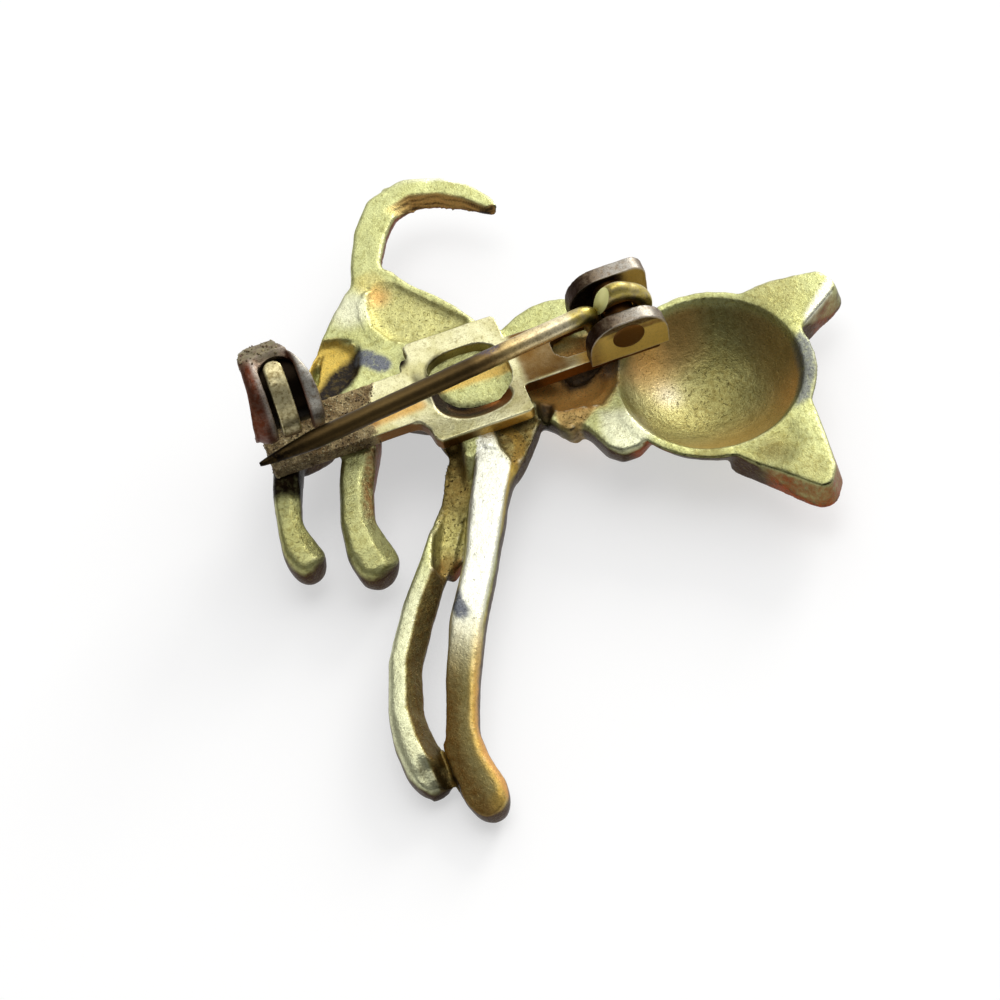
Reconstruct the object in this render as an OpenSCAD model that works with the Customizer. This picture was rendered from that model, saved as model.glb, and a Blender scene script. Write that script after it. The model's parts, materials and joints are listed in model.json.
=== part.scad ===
// Cast cat brooch, lying on its front with its pin side up.
// Everything is laid out from the centre of the pin bar's wide pad: X runs along the bar
// towards the hinge, Y across it towards the cat's tail, and Z up from the surface it lies on.

/* [Cat] */
// Height of the cat's flat back above the surface it lies on
back_h = 4.4; // [4:0.1:5.4]
// Radius of the dish in the back of the head
dish_r = 5.05; // [4.6:0.05:5.3]
// Depth of the dish below the back
dish_depth = 3.1; // [2.4:0.1:3.3]
// Thickness of the dished head's wall
head_wall = 0.8; // [0.6:0.05:1]
// Distance of each ear's tip from the middle of the head
ear_reach = 9; // [8.4:0.1:10]
// Thickness of the two ears
ear_t = 1.9; // [1.2:0.1:2.6]
// Length of the tail hook, from its root to its tip
tail_reach = 9.5; // [8.5:0.1:10.5]
// Width of the tail
tail_w = 2.3; // [1.8:0.1:2.8]
// Thickness of the tail
tail_t = 1.3; // [1:0.1:2]
// Length of the left front leg
left_leg_reach = 20.6; // [18:0.1:23]
// Length of the right front leg
right_leg_reach = 21.8; // [19:0.1:24]
// Width of the front legs
front_leg_w = 2; // [1.6:0.1:2.5]
// Length of the outer hind leg
outer_hind_reach = 6.7; // [6:0.1:8]
// Length of the inner hind leg
inner_hind_reach = 8.3; // [7:0.1:9.5]
// Width of the hind legs
hind_leg_w = 1.75; // [1.4:0.1:2.2]
// Thickness of the legs
leg_t = 2.4; // [1.8:0.1:3]
// Depth of the pockets cast into the back of the body
pocket_depth = 1.5; // [0.8:0.1:2.2]

/* [Pin bar] */
// Thickness of the stamped plate
plate_t = 0.7; // [0.5:0.05:1]
// Width of the plate's two arms
arm_w = 3.6; // [3:0.1:4.4]
// Length of the wide pad, along the bar
pad_l = 5.6; // [5:0.1:6.6]
// Width of the wide pad, across the bar
pad_w = 7.3; // [6.6:0.1:8.4]
// Length of the D hole in the pad
hole_l = 4.7; // [4:0.1:5]
// Width of the D hole in the pad
hole_w = 4.3; // [3.4:0.1:4.8]

/* [Hinge] */
// Distance of the rivet from the middle of the pad
hinge_x = 9.1; // [8.6:0.1:10]
// Height of the rivet above the plate
hinge_h = 1.55; // [1.4:0.05:1.8]
// Length along the bar of the two ears that hold the rivet
lug_l = 4.7; // [4.4:0.1:5.2]
// Height of the two ears above the plate
lug_h = 2.85; // [2.8:0.05:3.4]
// Thickness of each ear
lug_t = 0.95; // [0.6:0.05:1.2]
// Space between the two ears
lug_gap = 2.5; // [1.6:0.1:2.8]
// Radius of the rivet
rivet_r = 0.95; // [0.7:0.05:1.05]

/* [Pin stem] */
// Diameter of the pin's wire
wire_d = 1.1; // [0.8:0.05:1.15]
// Height of the stem above the plate
stem_h = 2.2; // [2.15:0.05:2.6]
// Length of the straight round stretch of the stem
stem_l = 16; // [15:0.1:17]
// Length of the point
point_l = 3.8; // [2.5:0.1:4]
// Angle between the stem and the bar, seen from above
stem_skew = 7; // [7:0.1:9]
// Distance of the loop from the middle of the bar, to the near side
stem_aside = 0.2; // [0:0.05:0.4]
// Running clearance between the wire loop and the rivet
loop_play = 0.05; // [0.02:0.01:0.1]

/* [Catch] */
// Distance of the catch's near end from the middle of the pad
catch_x = 8.35; // [8:0.05:9]
// Length of the catch along the bar
catch_l = 3.7; // [3.4:0.1:4.2]
// Outer radius of the curled catch
catch_r = 2.75; // [2.6:0.05:2.9]
// Thickness of the curled strip
catch_t = 0.6; // [0.4:0.05:0.7]
// Distance of the catch's axis from the middle of the bar
catch_y = 1.4; // [1.3:0.05:1.8]
// Width of the slot in the catch
slot_w = 2; // [1.6:0.1:2.4]
// Width of the lock's rib in the slot
rib_w = 1.2; // [0.8:0.1:1.5]
// Thickness of the lock's sleeve
sleeve_t = 0.45; // [0.35:0.05:0.6]
// Running clearance between the lock and the catch
lock_play = 0.05; // [0.02:0.01:0.1]

/* [Hidden] */

$fn = 48;
fit_gap = 0.02;
wire_r = wire_d / 2;
plate_top = back_h + plate_t;
loop_r = rivet_r + loop_play + wire_r;
loop_end = 125;
bend_r = stem_h - hinge_h;
lug_outer = lug_gap / 2 + lug_t;
lug_heel_r = 1.9;
lug_toe_r = 0.9;
arm_end = hinge_x + 0.4 * lug_l;
bore_r = catch_r - catch_t;
catch_h = catch_r - fit_gap;
lip_angle = -35;
slot_end = 100;
neck_share = 0.62;
fillet_r = 0.7;
notch_r = 0.55;
loop_room = 0.45;
loop_hole_r = wire_r + loop_room;
loop_hole_x = hinge_x - loop_r - wire_r - 2 * loop_room;
rim_near = 0.45;
rim_slope = 0.75;
lock_inset = 0.15;
overlap = 1;
head_at = [13.0, -4.8];
crown_heading = -27;
dish_ball = (dish_r * dish_r + dish_depth * dish_depth) / (2 * dish_depth);
head_ball = dish_ball + head_wall;
ball_h = back_h + dish_ball - dish_depth;
ear_tip_r = 0.55;
ear_edge_r = 0.95;
ear_foot_r = 0.7;
solder_t = 0.15;
dome_rings = 9;
dome_sides = 40;
head_r = sqrt(head_ball * head_ball - pow(ball_h - back_h, 2));

function turned(p, a) = [p.x * cos(a) - p.y * sin(a), p.x * sin(a) + p.y * cos(a)];
function signed_power(v, e) = sign(v) * pow(abs(v), e);
function blend(a, b, t) = a * (1 - t) + b * t;

// Rounds a closed outline by cutting off each corner
function rounded(p) = [for (i = [0 : len(p) - 1]) for (t = [0.22, 0.78])
    blend(p[i], p[(i + 1) % len(p)], t)];

// Closes a stack of rings, each with as many points, into a solid; its two ends rise to a
// middle point, the first by crown
function sum_of(p, i = 0) = i == len(p) ? [0, 0, 0] : p[i] + sum_of(p, i + 1);
function middle_of(ring) = sum_of(ring) / len(ring);
module stack(rings, crown = 0) {
    n = len(rings[0]);
    last = len(rings) - 1;
    start_point = n * len(rings);
    points = concat([for (ring = rings) each ring],
        [middle_of(rings[0]) + [0, 0, crown], middle_of(rings[last])]);
    around = [for (i = [0 : n - 1]) [i, (i + 1) % n]];
    faces = concat(
        [for (i = around) [start_point, i[1], i[0]]],
        [for (k = [0 : last - 1]) for (i = around) [k * n + i[0], (k + 1) * n + i[1], (k + 1) * n + i[0]]],
        [for (k = [0 : last - 1]) for (i = around) [k * n + i[0], k * n + i[1], (k + 1) * n + i[1]]],
        [for (i = around) [start_point + 1, last * n + i[0], last * n + i[1]]]
    );
    polyhedron(points, faces);
}

// Shares of each limb: [along its reach, aside, width of the limb's width, top of the back's
// height, thickness of the limb's thickness]
tail_rows = [
    [-0.12, -0.14, 0.90, 0.99, 1.00],
    [ 0.00,  0.00, 0.90, 0.99, 1.00],
    [ 0.14,  0.21, 0.86, 0.99, 1.00],
    [ 0.31,  0.38, 0.96, 0.99, 1.00],
    [ 0.49,  0.49, 1.06, 0.99, 1.00],
    [ 0.68,  0.48, 1.06, 0.98, 0.95],
    [ 0.84,  0.37, 0.97, 0.95, 0.90],
    [ 0.94,  0.23, 0.80, 0.93, 0.80],
    [ 1.00,  0.08, 0.56, 0.91, 0.70],
    [ 1.01,  0.00, 0.32, 0.90, 0.60]
];
left_leg_rows = [
    [-0.08, -0.01, 0.60, 0.95, 1.00],
    [ 0.00,  0.00, 0.70, 0.97, 1.00],
    [ 0.16, -0.01, 0.76, 0.95, 1.00],
    [ 0.35, -0.04, 0.84, 0.91, 1.00],
    [ 0.51, -0.08, 0.93, 0.86, 1.00],
    [ 0.66, -0.10, 0.92, 0.82, 1.00],
    [ 0.80, -0.09, 0.98, 0.75, 1.05],
    [ 0.88, -0.06, 1.18, 0.68, 1.15],
    [ 0.95, -0.02, 1.30, 0.62, 1.14],
    [ 0.99,  0.00, 1.00, 0.56, 0.95],
    [ 1.01,  0.01, 0.50, 0.50, 0.65]
];
right_leg_rows = [
    [-0.08,  0.01, 1.20, 0.98, 1.10],
    [ 0.00,  0.00, 1.36, 0.98, 1.10],
    [ 0.14, -0.02, 1.16, 0.98, 1.05],
    [ 0.34, -0.04, 1.00, 0.93, 1.00],
    [ 0.50, -0.07, 1.06, 0.89, 1.00],
    [ 0.66, -0.08, 0.97, 0.82, 1.00],
    [ 0.80, -0.08, 0.96, 0.73, 1.05],
    [ 0.88, -0.06, 1.17, 0.66, 1.15],
    [ 0.95, -0.02, 1.27, 0.60, 1.10],
    [ 0.99,  0.00, 1.00, 0.54, 0.92],
    [ 1.01,  0.01, 0.50, 0.48, 0.62]
];
outer_hind_rows = [
    [-0.20,  0.02, 1.10, 0.98, 1.10],
    [ 0.00,  0.00, 0.98, 0.98, 1.10],
    [ 0.34, -0.08, 0.90, 0.98, 1.05],
    [ 0.62, -0.12, 0.86, 0.94, 1.00],
    [ 0.83, -0.09, 1.25, 0.86, 1.10],
    [ 0.96, -0.02, 1.30, 0.78, 1.05],
    [ 1.02,  0.02, 0.80, 0.70, 0.75]
];
inner_hind_rows = [
    [-0.20,  0.02, 1.30, 0.98, 1.10],
    [ 0.00,  0.00, 1.24, 0.98, 1.10],
    [ 0.35, -0.09, 1.14, 0.98, 1.05],
    [ 0.63, -0.12, 1.18, 0.93, 1.00],
    [ 0.83, -0.07, 1.56, 0.85, 1.15],
    [ 0.95, -0.02, 1.52, 0.77, 1.10],
    [ 1.01,  0.02, 0.90, 0.69, 0.75]
];

// One ring of a limb: nearly flat on the back, round on the front
limb_sides = 12;
function limb_ring(rows, i, reach, heading, w, t) =
    let (
        row = rows[i],
        from = rows[max(i - 1, 0)],
        to = rows[min(i + 1, len(rows) - 1)],
        at = turned([row[0], row[1]] * reach, heading),
        way = turned([to[0] - from[0], to[1] - from[1]], heading),
        across = [way.y, -way.x] / norm(way),
        top = row[3] * back_h,
        bottom = max(top - row[4] * t, 0),
        mid = top - 0.35 * (top - bottom)
    )
    [for (k = [0 : limb_sides - 1])
        let (
            a = 360 * k / limb_sides,
            side = signed_power(cos(a), 0.8) * row[2] * w / 2,
            up = sin(a) > 0 ? pow(sin(a), 0.6) * (top - mid) : -pow(-sin(a), 0.85) * (mid - bottom)
        )
        [at.x + across.x * side, at.y + across.y * side, mid + up]];

// Each limb: [root, rows, reach, heading, width, thickness]
limbs = [
    [[-3.3, 8.7], tail_rows, tail_reach, 20, tail_w, tail_t],
    [[-1.8, -3.5], left_leg_rows, left_leg_reach, -113, front_leg_w, leg_t],
    [[0.1, -4.5], right_leg_rows, right_leg_reach, -110, front_leg_w, leg_t],
    [[-11.1, -0.5], outer_hind_rows, outer_hind_reach, -95, hind_leg_w, leg_t],
    [[-6.8, -0.9], inner_hind_rows, inner_hind_reach, -100, hind_leg_w, leg_t]
];
function limb_rings(limb) = [for (i = [0 : len(limb[1]) - 1])
    [for (p = limb_ring(limb[1], i, limb[2], limb[3], limb[4], limb[5]))
        p + [limb[0].x, limb[0].y, 0]]];

// A cast lump with a slightly crowned back, which narrows towards the front.
// Each row: [share of the outline, share of the depth, turn of the ring]
lump_rows = [
    [0.97, 0.01, 0.0],
    [1.00, 0.14, 0.4],
    [0.98, 0.40, 0.9],
    [0.88, 0.68, 1.5],
    [0.66, 0.88, 2.2],
    [0.30, 0.99, 3.0]
];
back_crown = 0.06;
module lump(outline, centre, depth, top) {
    translate([centre.x, centre.y, top])
        stack([for (row = lump_rows) [for (p = rounded(outline))
            let (q = turned((p - centre) * row[0], row[2]))
            [q.x, q.y, -row[1] * depth]]], back_crown);
}

module egg(at, r) {
    translate(at) scale(r) sphere(1, $fn = 12);
}

// Body: rump, shoulder and neck
rump_outline = [
    [-4.2, 9.9], [-5.7, 8.1], [-8.2, 5.1], [-10.2, 2.4], [-12.0, 0.4], [-11.2, -0.8],
    [-9.4, 0.4], [-7.0, -0.4], [-4.6, 0.4], [-2.6, -1.0], [0.6, -2.6], [3.0, -0.4],
    [2.4, 3.6], [0.8, 6.7], [-1.0, 8.9], [-1.5, 10.4]
];
shoulder_outline = [
    [-3.0, -1.2], [-2.6, -3.6], [-1.4, -5.2], [0.3, -6.8], [1.5, -5.6], [2.9, -3.9],
    [4.2, -2.0], [4.2, 1.8], [2.4, 3.6], [-0.6, 3.6], [-2.8, 1.0]
];
neck_outline = [
    [1.6, -1.4], [2.6, -3.2], [3.4, -4.1], [4.2, -5.5], [4.9, -4.8], [6.0, -7.8],
    [7.8, -7.9], [9.2, -6.0], [9.4, 0.6], [8.4, 3.2], [6.4, 4.2], [4.4, 4.0], [2.6, 3.0]
];
module body_blank() {
    lump(rump_outline, [-4.6, 3.6], back_h - back_crown, back_h - back_crown);
    lump(shoulder_outline, [0.6, -1.0], back_h * 0.86, back_h - 1.5 * back_crown);
    lump(neck_outline, [6.2, -1.6], back_h * 0.7, back_h - 1.2 * back_crown);
}

// Sunk places in the back of the body: [x, y, half length, half width, turn, share of depth]
pocket_rows = [
    [-1.7,  6.9, 2.9, 1.3, -50, 1.00],
    [-1.6,  5.9, 1.9, 1.6,  20, 0.90],
    [-6.7,  4.6, 1.9, 1.4,  40, 1.20],
    [ 0.9, -5.0, 1.6, 0.9, -45, 0.80],
    [ 5.4, -1.4, 2.7, 2.6,   0, 0.90],
    [-5.0,  0.4, 2.6, 1.0,   8, 0.60]
];
module body_pockets() {
    for (row = pocket_rows)
        translate([row[0], row[1], back_h])
            rotate(row[4])
                scale([row[2], row[3], pocket_depth * row[5]])
                    sphere(1, $fn = 18);
}

// Head: a dome with a dished back, two ears, and a plain face on its front.
// Each ear: share of the reach and heading of its tip, its corner, its side and its two feet
ear_rows = [
    [[0.97,  27], [0.97,  22], [0.74,  39], [0.52,  57], [0.60,  16]],
    [[1.05, -72], [1.00, -68], [0.80, -62], [0.60, -47], [0.58, -94]]
];
function from_head(share, heading) = head_at + turned([ear_reach * share, 0], heading);
module cat_ear(row) {
    hull() {
        for (tip = [row[0], row[1]])
            translate(from_head(tip[0], tip[1]))
                translate([0, 0, back_h - ear_t])
                    cylinder(r1 = ear_edge_r, r2 = ear_tip_r, h = ear_t - back_crown, $fn = 16);
        for (foot = [row[2], row[3], row[4]])
            translate(from_head(foot[0], foot[1]))
                translate([0, 0, back_h - ear_t * 1.1])
                    cylinder(r = ear_foot_r, h = ear_t * 1.1 - back_crown / 2, $fn = 16);
    }
}

module face() {
    for (side = [-1, 1]) {
        eye = head_at + turned([1.4, side * 2.2], crown_heading);
        muzzle = head_at + turned([-1.7, side * 0.9], crown_heading);
        hull() {
            egg([eye.x, eye.y, 0.95], [1.1, 0.8, 0.5]);
            egg([eye.x, eye.y, 1.4], [1.3, 1.1, 0.5]);
        }
        hull() {
            egg([muzzle.x, muzzle.y, 0.6], [1.2, 1.1, 0.6]);
            egg([muzzle.x, muzzle.y, 1.2], [1.7, 1.6, 0.6]);
        }
    }
    nose = head_at + turned([-0.4, 0], crown_heading);
    hull() {
        egg([nose.x, nose.y, 0.55], [0.7, 0.6, 0.4]);
        egg([nose.x, nose.y, 1.1], [1.1, 1.1, 0.4]);
    }
}

module bowl(r, rim, crown) {
    stack([for (k = [dome_rings : -1 : 1]) [for (i = [0 : dome_sides - 1])
        let (a = rim * k / dome_rings, b = 360 * i / dome_sides + k)
        r * [sin(a) * cos(b), sin(a) * sin(b), -cos(a)]]], crown);
}
module head_blank() {
    translate([head_at.x, head_at.y, ball_h])
        bowl(head_ball, asin(head_r / head_ball), back_crown / 2);
    for (row = ear_rows)
        cat_ear(row);
    face();
}

module head_dish() {
    translate([head_at.x, head_at.y, ball_h])
        bowl(dish_ball, asin(dish_r / dish_ball) + 5, dish_depth);
}

// Web of metal between the tops of the front legs
module leg_web() {
    hull() {
        translate([-1.4, -3.4, 1.7])
            cylinder(r = 0.7, h = 1.1, $fn = 16);
        translate([-2.6, -7.6, 1.6])
            cylinder(r = 0.9, h = 1.0, $fn = 16);
        translate([-4.7, -10.2, 1.5])
            cylinder(r = 0.35, h = 1.0, $fn = 16);
    }
}

// The cast cat, without the pin bar
module casting() {
    color([0.80, 0.76, 0.50])
    difference() {
        union() {
            body_blank();
            head_blank();
            leg_web();
            for (limb = limbs)
                stack(limb_rings(limb));
        }
        body_pockets();
        head_dish();
    }
}

// Outline of the stamped plate, with its D hole and the hole under the loop
module plate_outline() {
    difference() {
        union() {
            translate([-catch_x - catch_l, -arm_w / 2])
                square([catch_x + catch_l + arm_end, arm_w]);
            square([pad_l, pad_w], center = true);
            difference() {
                translate([-pad_l / 2 - fillet_r, -arm_w / 2 - fillet_r])
                    square([2 * fillet_r, 2 * fillet_r]);
                translate([-pad_l / 2 - fillet_r, -arm_w / 2 - fillet_r])
                    circle(r = fillet_r);
            }
        }
        intersection() {
            translate([hole_l * 0.06, 0])
                circle(r = hole_l * 0.56);
            square([hole_l, hole_w], center = true);
        }
        translate([-pad_l / 2, arm_w / 2 + fillet_r / 2])
            circle(r = notch_r);
        translate([loop_hole_x, 0])
            circle(r = loop_hole_r);
        translate([loop_hole_x, -loop_hole_r])
            square([arm_end - loop_hole_x + overlap, 2 * loop_hole_r]);
    }
}

// The sunk rim that the press left on the near side of the D hole
module sunk_rim() {
    r = hole_w / 2;
    translate([-rim_near / 4, -rim_near, back_h])
        scale([0.9, 1, 1])
            cylinder(r1 = r + rim_near - rim_slope, r2 = r + rim_near, h = plate_t + fit_gap);
}

// One ear for the rivet: a tab with a flat top, a well rounded heel and a smaller toe
module lug(side) {
    left = hinge_x - lug_l / 2;
    right = hinge_x + lug_l / 2;
    top = plate_top + lug_h;
    heel = left + lug_heel_r;
    toe = right - lug_toe_r;
    translate([0, side * (lug_gap + lug_t) / 2, 0])
        rotate([90, 0, 0])
            linear_extrude(lug_t, center = true) {
                translate([left, back_h])
                    square([lug_l, top - lug_heel_r - back_h]);
                translate([heel, back_h])
                    square([right - heel, top - lug_toe_r - back_h]);
                translate([heel, back_h])
                    square([toe - heel, top - back_h]);
                translate([heel, top - lug_heel_r])
                    circle(r = lug_heel_r);
                translate([toe, top - lug_toe_r])
                    circle(r = lug_toe_r);
            }
}

// A stretch of a ring round the catch's axis, between two angles; 0 faces the near side
module catch_sector(inner, outer, from, to, x0, x1) {
    translate([x1, catch_y, plate_top + catch_h])
        rotate([90, 0, -90])
            rotate_extrude(angle = to - from, start = from)
                translate([inner, 0])
                    square([outer - inner, x1 - x0]);
}

// The catch: two bands beside the slot, which join over it and narrow to a neck on the far side
module catch_ring() {
    middle_x = -catch_x - catch_l / 2;
    shoulder = slot_end + 12;
    neck = slot_end + 32;
    rows = [[lip_angle, shoulder, 1], [shoulder, neck, (1 + neck_share) / 2], [neck, 270, neck_share]];
    difference() {
        for (row = rows)
            catch_sector(bore_r, catch_r, row[0], row[1],
                middle_x - row[2] * catch_l / 2, middle_x + row[2] * catch_l / 2);
        catch_sector(bore_r - overlap, catch_r + overlap, lip_angle - 5, slot_end,
            middle_x - slot_w / 2, middle_x + slot_w / 2);
    }
}

// The stamped bar, soldered on the cat's back
module pin_bar() {
    color([0.72, 0.68, 0.48])
    difference() {
        union() {
            translate([0, 0, back_h - solder_t])
                linear_extrude(plate_t + solder_t)
                    plate_outline();
            lug(1);
            lug(-1);
            catch_ring();
        }
        sunk_rim();
        translate([hinge_x, lug_outer + overlap, plate_top + hinge_h])
            rotate([90, 0, 0])
                cylinder(r = rivet_r + fit_gap, h = 2 * (lug_outer + overlap));
    }
}

module joint_rivet() {
    color([0.60, 0.52, 0.36])
    translate([hinge_x, lug_outer, plate_top + hinge_h])
        rotate([90, 0, 0])
            cylinder(r = rivet_r, h = 2 * lug_outer);
}

// The wire pin: a loop round the rivet, a bend, the straight stem and the point
module pin_stem() {
    color([0.66, 0.56, 0.30])
    translate([hinge_x, -stem_aside, plate_top + hinge_h]) {
        rotate([90, 0, 0])
            rotate_extrude(angle = loop_end + 180, start = 180)
                translate([loop_r, 0])
                    circle(r = wire_r);
        translate([-loop_r, 0, 0])
            rotate([0, 0, stem_skew])
                translate([-bend_r, 0, 0]) {
                    rotate([90, 0, 0])
                        rotate_extrude(angle = 90)
                            translate([bend_r, 0])
                                circle(r = wire_r);
                    translate([0, 0, bend_r])
                        rotate([0, -90, 0]) {
                            cylinder(r = wire_r, h = stem_l);
                            translate([0, 0, stem_l])
                                cylinder(r1 = wire_r, r2 = wire_r * 0.2, h = point_l);
                        }
                }
    }
}

// The lock: a split sleeve in the catch, with a rib in the slot
module catch_lock() {
    x0 = -catch_x - catch_l + lock_inset;
    x1 = -catch_x - lock_inset;
    rib_x = (x0 + x1) / 2;
    sleeve_r = bore_r - lock_play;
    color([0.82, 0.72, 0.38])
    union() {
        catch_sector(sleeve_r - sleeve_t, sleeve_r, lip_angle + 2, 268, x0, x1);
        catch_sector(sleeve_r - sleeve_t / 2, catch_r - lock_play, lip_angle + 2, slot_end - 7,
            rib_x - rib_w / 2, rib_x + rib_w / 2);
    }
}

// Middle of the whole brooch, seen from above: from the hind paw to the ear and from the
// front paw to the tail
limb_points = [for (limb = limbs) for (ring = limb_rings(limb)) each ring];
ear_points = [for (row = ear_rows) for (place = row) from_head(place[0], place[1])];
left_end = min([for (p = limb_points) p.x]);
right_end = max([for (p = ear_points) p.x]) + ear_edge_r;
near_end = min([for (p = limb_points) p.y]);
far_end = max([for (p = limb_points) p.y]);
middle = [left_end + right_end, near_end + far_end] / 2;

module in_frame() {
    translate([-middle.x, -middle.y, 0])
        children();
}

in_frame() casting();  // cat_figure
in_frame() pin_bar();  // cat_figure
in_frame() pin_stem();
in_frame() joint_rivet();
in_frame() catch_lock();
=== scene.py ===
"""Dresses the cast cat brooch: a detailed mesh and a procedural finish for every piece."""
import json
import math

import bmesh
import bpy
import numpy as np
from mathutils import Matrix, Vector, noise


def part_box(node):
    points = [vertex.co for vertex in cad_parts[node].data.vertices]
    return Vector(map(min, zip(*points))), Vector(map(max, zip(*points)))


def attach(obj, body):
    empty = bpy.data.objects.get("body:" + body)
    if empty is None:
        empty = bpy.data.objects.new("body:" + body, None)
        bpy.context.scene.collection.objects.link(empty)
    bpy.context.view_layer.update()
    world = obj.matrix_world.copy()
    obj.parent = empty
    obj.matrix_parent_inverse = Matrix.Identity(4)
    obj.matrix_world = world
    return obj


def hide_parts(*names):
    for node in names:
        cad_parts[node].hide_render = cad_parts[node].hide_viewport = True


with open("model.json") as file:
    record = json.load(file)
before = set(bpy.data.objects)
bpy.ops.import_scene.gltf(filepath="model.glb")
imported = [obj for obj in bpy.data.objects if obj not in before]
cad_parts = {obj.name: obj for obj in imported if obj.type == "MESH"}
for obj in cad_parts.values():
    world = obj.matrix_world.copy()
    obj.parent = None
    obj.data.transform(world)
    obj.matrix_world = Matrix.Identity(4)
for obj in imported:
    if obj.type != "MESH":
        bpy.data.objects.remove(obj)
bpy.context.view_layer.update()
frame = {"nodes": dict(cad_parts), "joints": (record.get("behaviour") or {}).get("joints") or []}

# Sizes in millimetres, measured from the middle of the pin bar's wide pad
MM = 0.001
joints = {joint["name"]: joint for joint in frame["joints"]}
hinge = Vector(joints["pin_open"]["pos_m"]) / MM
hinge_x = 9.1
hinge_h = 1.55
plate_t = 0.7
plate_top = hinge.z - hinge_h
back_h = plate_top - plate_t
pad_middle = np.array([hinge.x - hinge_x, hinge.y, 0.0])
catch_axis = Vector(joints["lock_turn"]["pos_m"]) / MM - Vector(pad_middle)
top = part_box("cat_figure")[1].z / MM
ear_top = plate_top + 2.85
weld = 0.0005


# Helpers for objects, nodes and meshes
def placed(name, data):
    """A new object in the scene."""
    obj = bpy.data.objects.new(name, data)
    bpy.context.scene.collection.objects.link(obj)
    return obj


def add_node(tree, kind, settings, feeds):
    """A new node, set up first, with each socket then fed by another socket or by a value."""
    node = tree.nodes.new(kind)
    for key, value in settings.items():
        if key == "stops":
            elements = node.color_ramp.elements
            for _ in value[2:]:
                elements.new(0.5)
            for element, (position, code) in zip(elements, value):
                element.position = position
                element.color = colour(code)
        else:
            setattr(node, key, value)
    for key, value in feeds.items():
        if isinstance(value, bpy.types.NodeSocket):
            tree.links.new(value, node.inputs[key])
        else:
            node.inputs[key].default_value = value
    return node


def mesh_of(points, faces, name="work"):
    """A mesh from points in millimetres and faces."""
    mesh = bpy.data.meshes.new(name)
    mesh.from_pydata([tuple(p) for p in points], [], [tuple(f) for f in faces])
    mesh.update()
    return mesh


def points_of(mesh):
    """The mesh's points as an array."""
    flat = np.empty(len(mesh.vertices) * 3, np.float32)
    mesh.vertices.foreach_get("co", flat)
    return flat.reshape(-1, 3).astype(float)


def move_points(mesh, points):
    """Puts the mesh's points in new places."""
    mesh.vertices.foreach_set("co", np.asarray(points, np.float32).ravel())
    mesh.update()


def normals_of(mesh):
    """The direction that each point of the mesh faces."""
    flat = np.empty(len(mesh.vertices) * 3, np.float32)
    mesh.vertex_normals.foreach_get("vector", flat)
    return flat.reshape(-1, 3).astype(float)


def push_out(mesh, by):
    """Moves each point of the mesh along its normal, and gives the points' new places."""
    points = points_of(mesh) + normals_of(mesh) * by[:, None]
    move_points(mesh, points)
    return points


def modified(mesh, *steps):
    """The mesh after some modifiers, each given as its type and its settings."""
    helper = placed("helper", mesh)
    for kind, settings in steps:
        modifier = helper.modifiers.new(kind.lower(), kind)
        for key, value in settings.items():
            if hasattr(modifier, key):
                setattr(modifier, key, value)
            else:
                modifier[key] = value
    graph = bpy.context.evaluated_depsgraph_get()
    result = bpy.data.meshes.new_from_object(helper.evaluated_get(graph))
    bpy.data.objects.remove(helper)
    return result


def cast_skin(mesh, voxel, smooth):
    """One closed, even skin over everything in the mesh, with its edges softened."""
    return modified(
        mesh,
        ("REMESH", {"mode": "VOXEL", "voxel_size": voxel, "use_smooth_shade": True}),
        ("SMOOTH", {"factor": 0.5, "iterations": smooth}),
    )


def as_mesh(work):
    """A new mesh from a bmesh, which is freed."""
    result = bpy.data.meshes.new("work")
    work.to_mesh(result)
    work.free()
    return result


def facing_out(mesh, doubles=False):
    """The mesh with its faces turned outward, and with its doubled points joined where it has them."""
    work = bmesh.new()
    work.from_mesh(mesh)
    if doubles:
        bmesh.ops.remove_doubles(work, verts=work.verts, dist=weld)
    bmesh.ops.recalc_face_normals(work, faces=work.faces[:])
    return as_mesh(work)


def joined(*meshes):
    """Several meshes as one."""
    work = bmesh.new()
    for mesh in meshes:
        work.from_mesh(mesh)
    return as_mesh(work)


def flat_shape(outline, holes, low, high):
    """A plate cut to an outline with holes, between two heights."""
    work = bmesh.new()
    for ring in [outline, *holes]:
        corners = [work.verts.new((x, y, low)) for x, y in ring]
        for first, second in zip(corners, corners[1:] + corners[:1]):
            work.edges.new((first, second))
    bmesh.ops.triangle_fill(work, use_beauty=True, edges=work.edges[:])
    raised = bmesh.ops.extrude_face_region(work, geom=work.faces[:])["geom"]
    lifted = [v for v in raised if isinstance(v, bmesh.types.BMVert)]
    bmesh.ops.translate(work, vec=(0, 0, high - low), verts=lifted)
    bmesh.ops.recalc_face_normals(work, faces=work.faces[:])
    return as_mesh(work)


def arc(centre, radius, start, end, count):
    """Points along an arc, with its angles in degrees."""
    angles = np.radians(np.linspace(start, end, count))
    return [(centre[0] + radius * math.cos(a), centre[1] + radius * math.sin(a)) for a in angles]


def tube_faces(rows, sides):
    """The faces that join rings of points, one after another, into a tube."""
    faces = []
    for row in range(rows - 1):
        for k in range(sides):
            after = (k + 1) % sides
            corners = ((row, k), (row, after), (row + 1, after), (row + 1, k))
            faces.append([ring * sides + place for ring, place in corners])
    return faces


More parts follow.
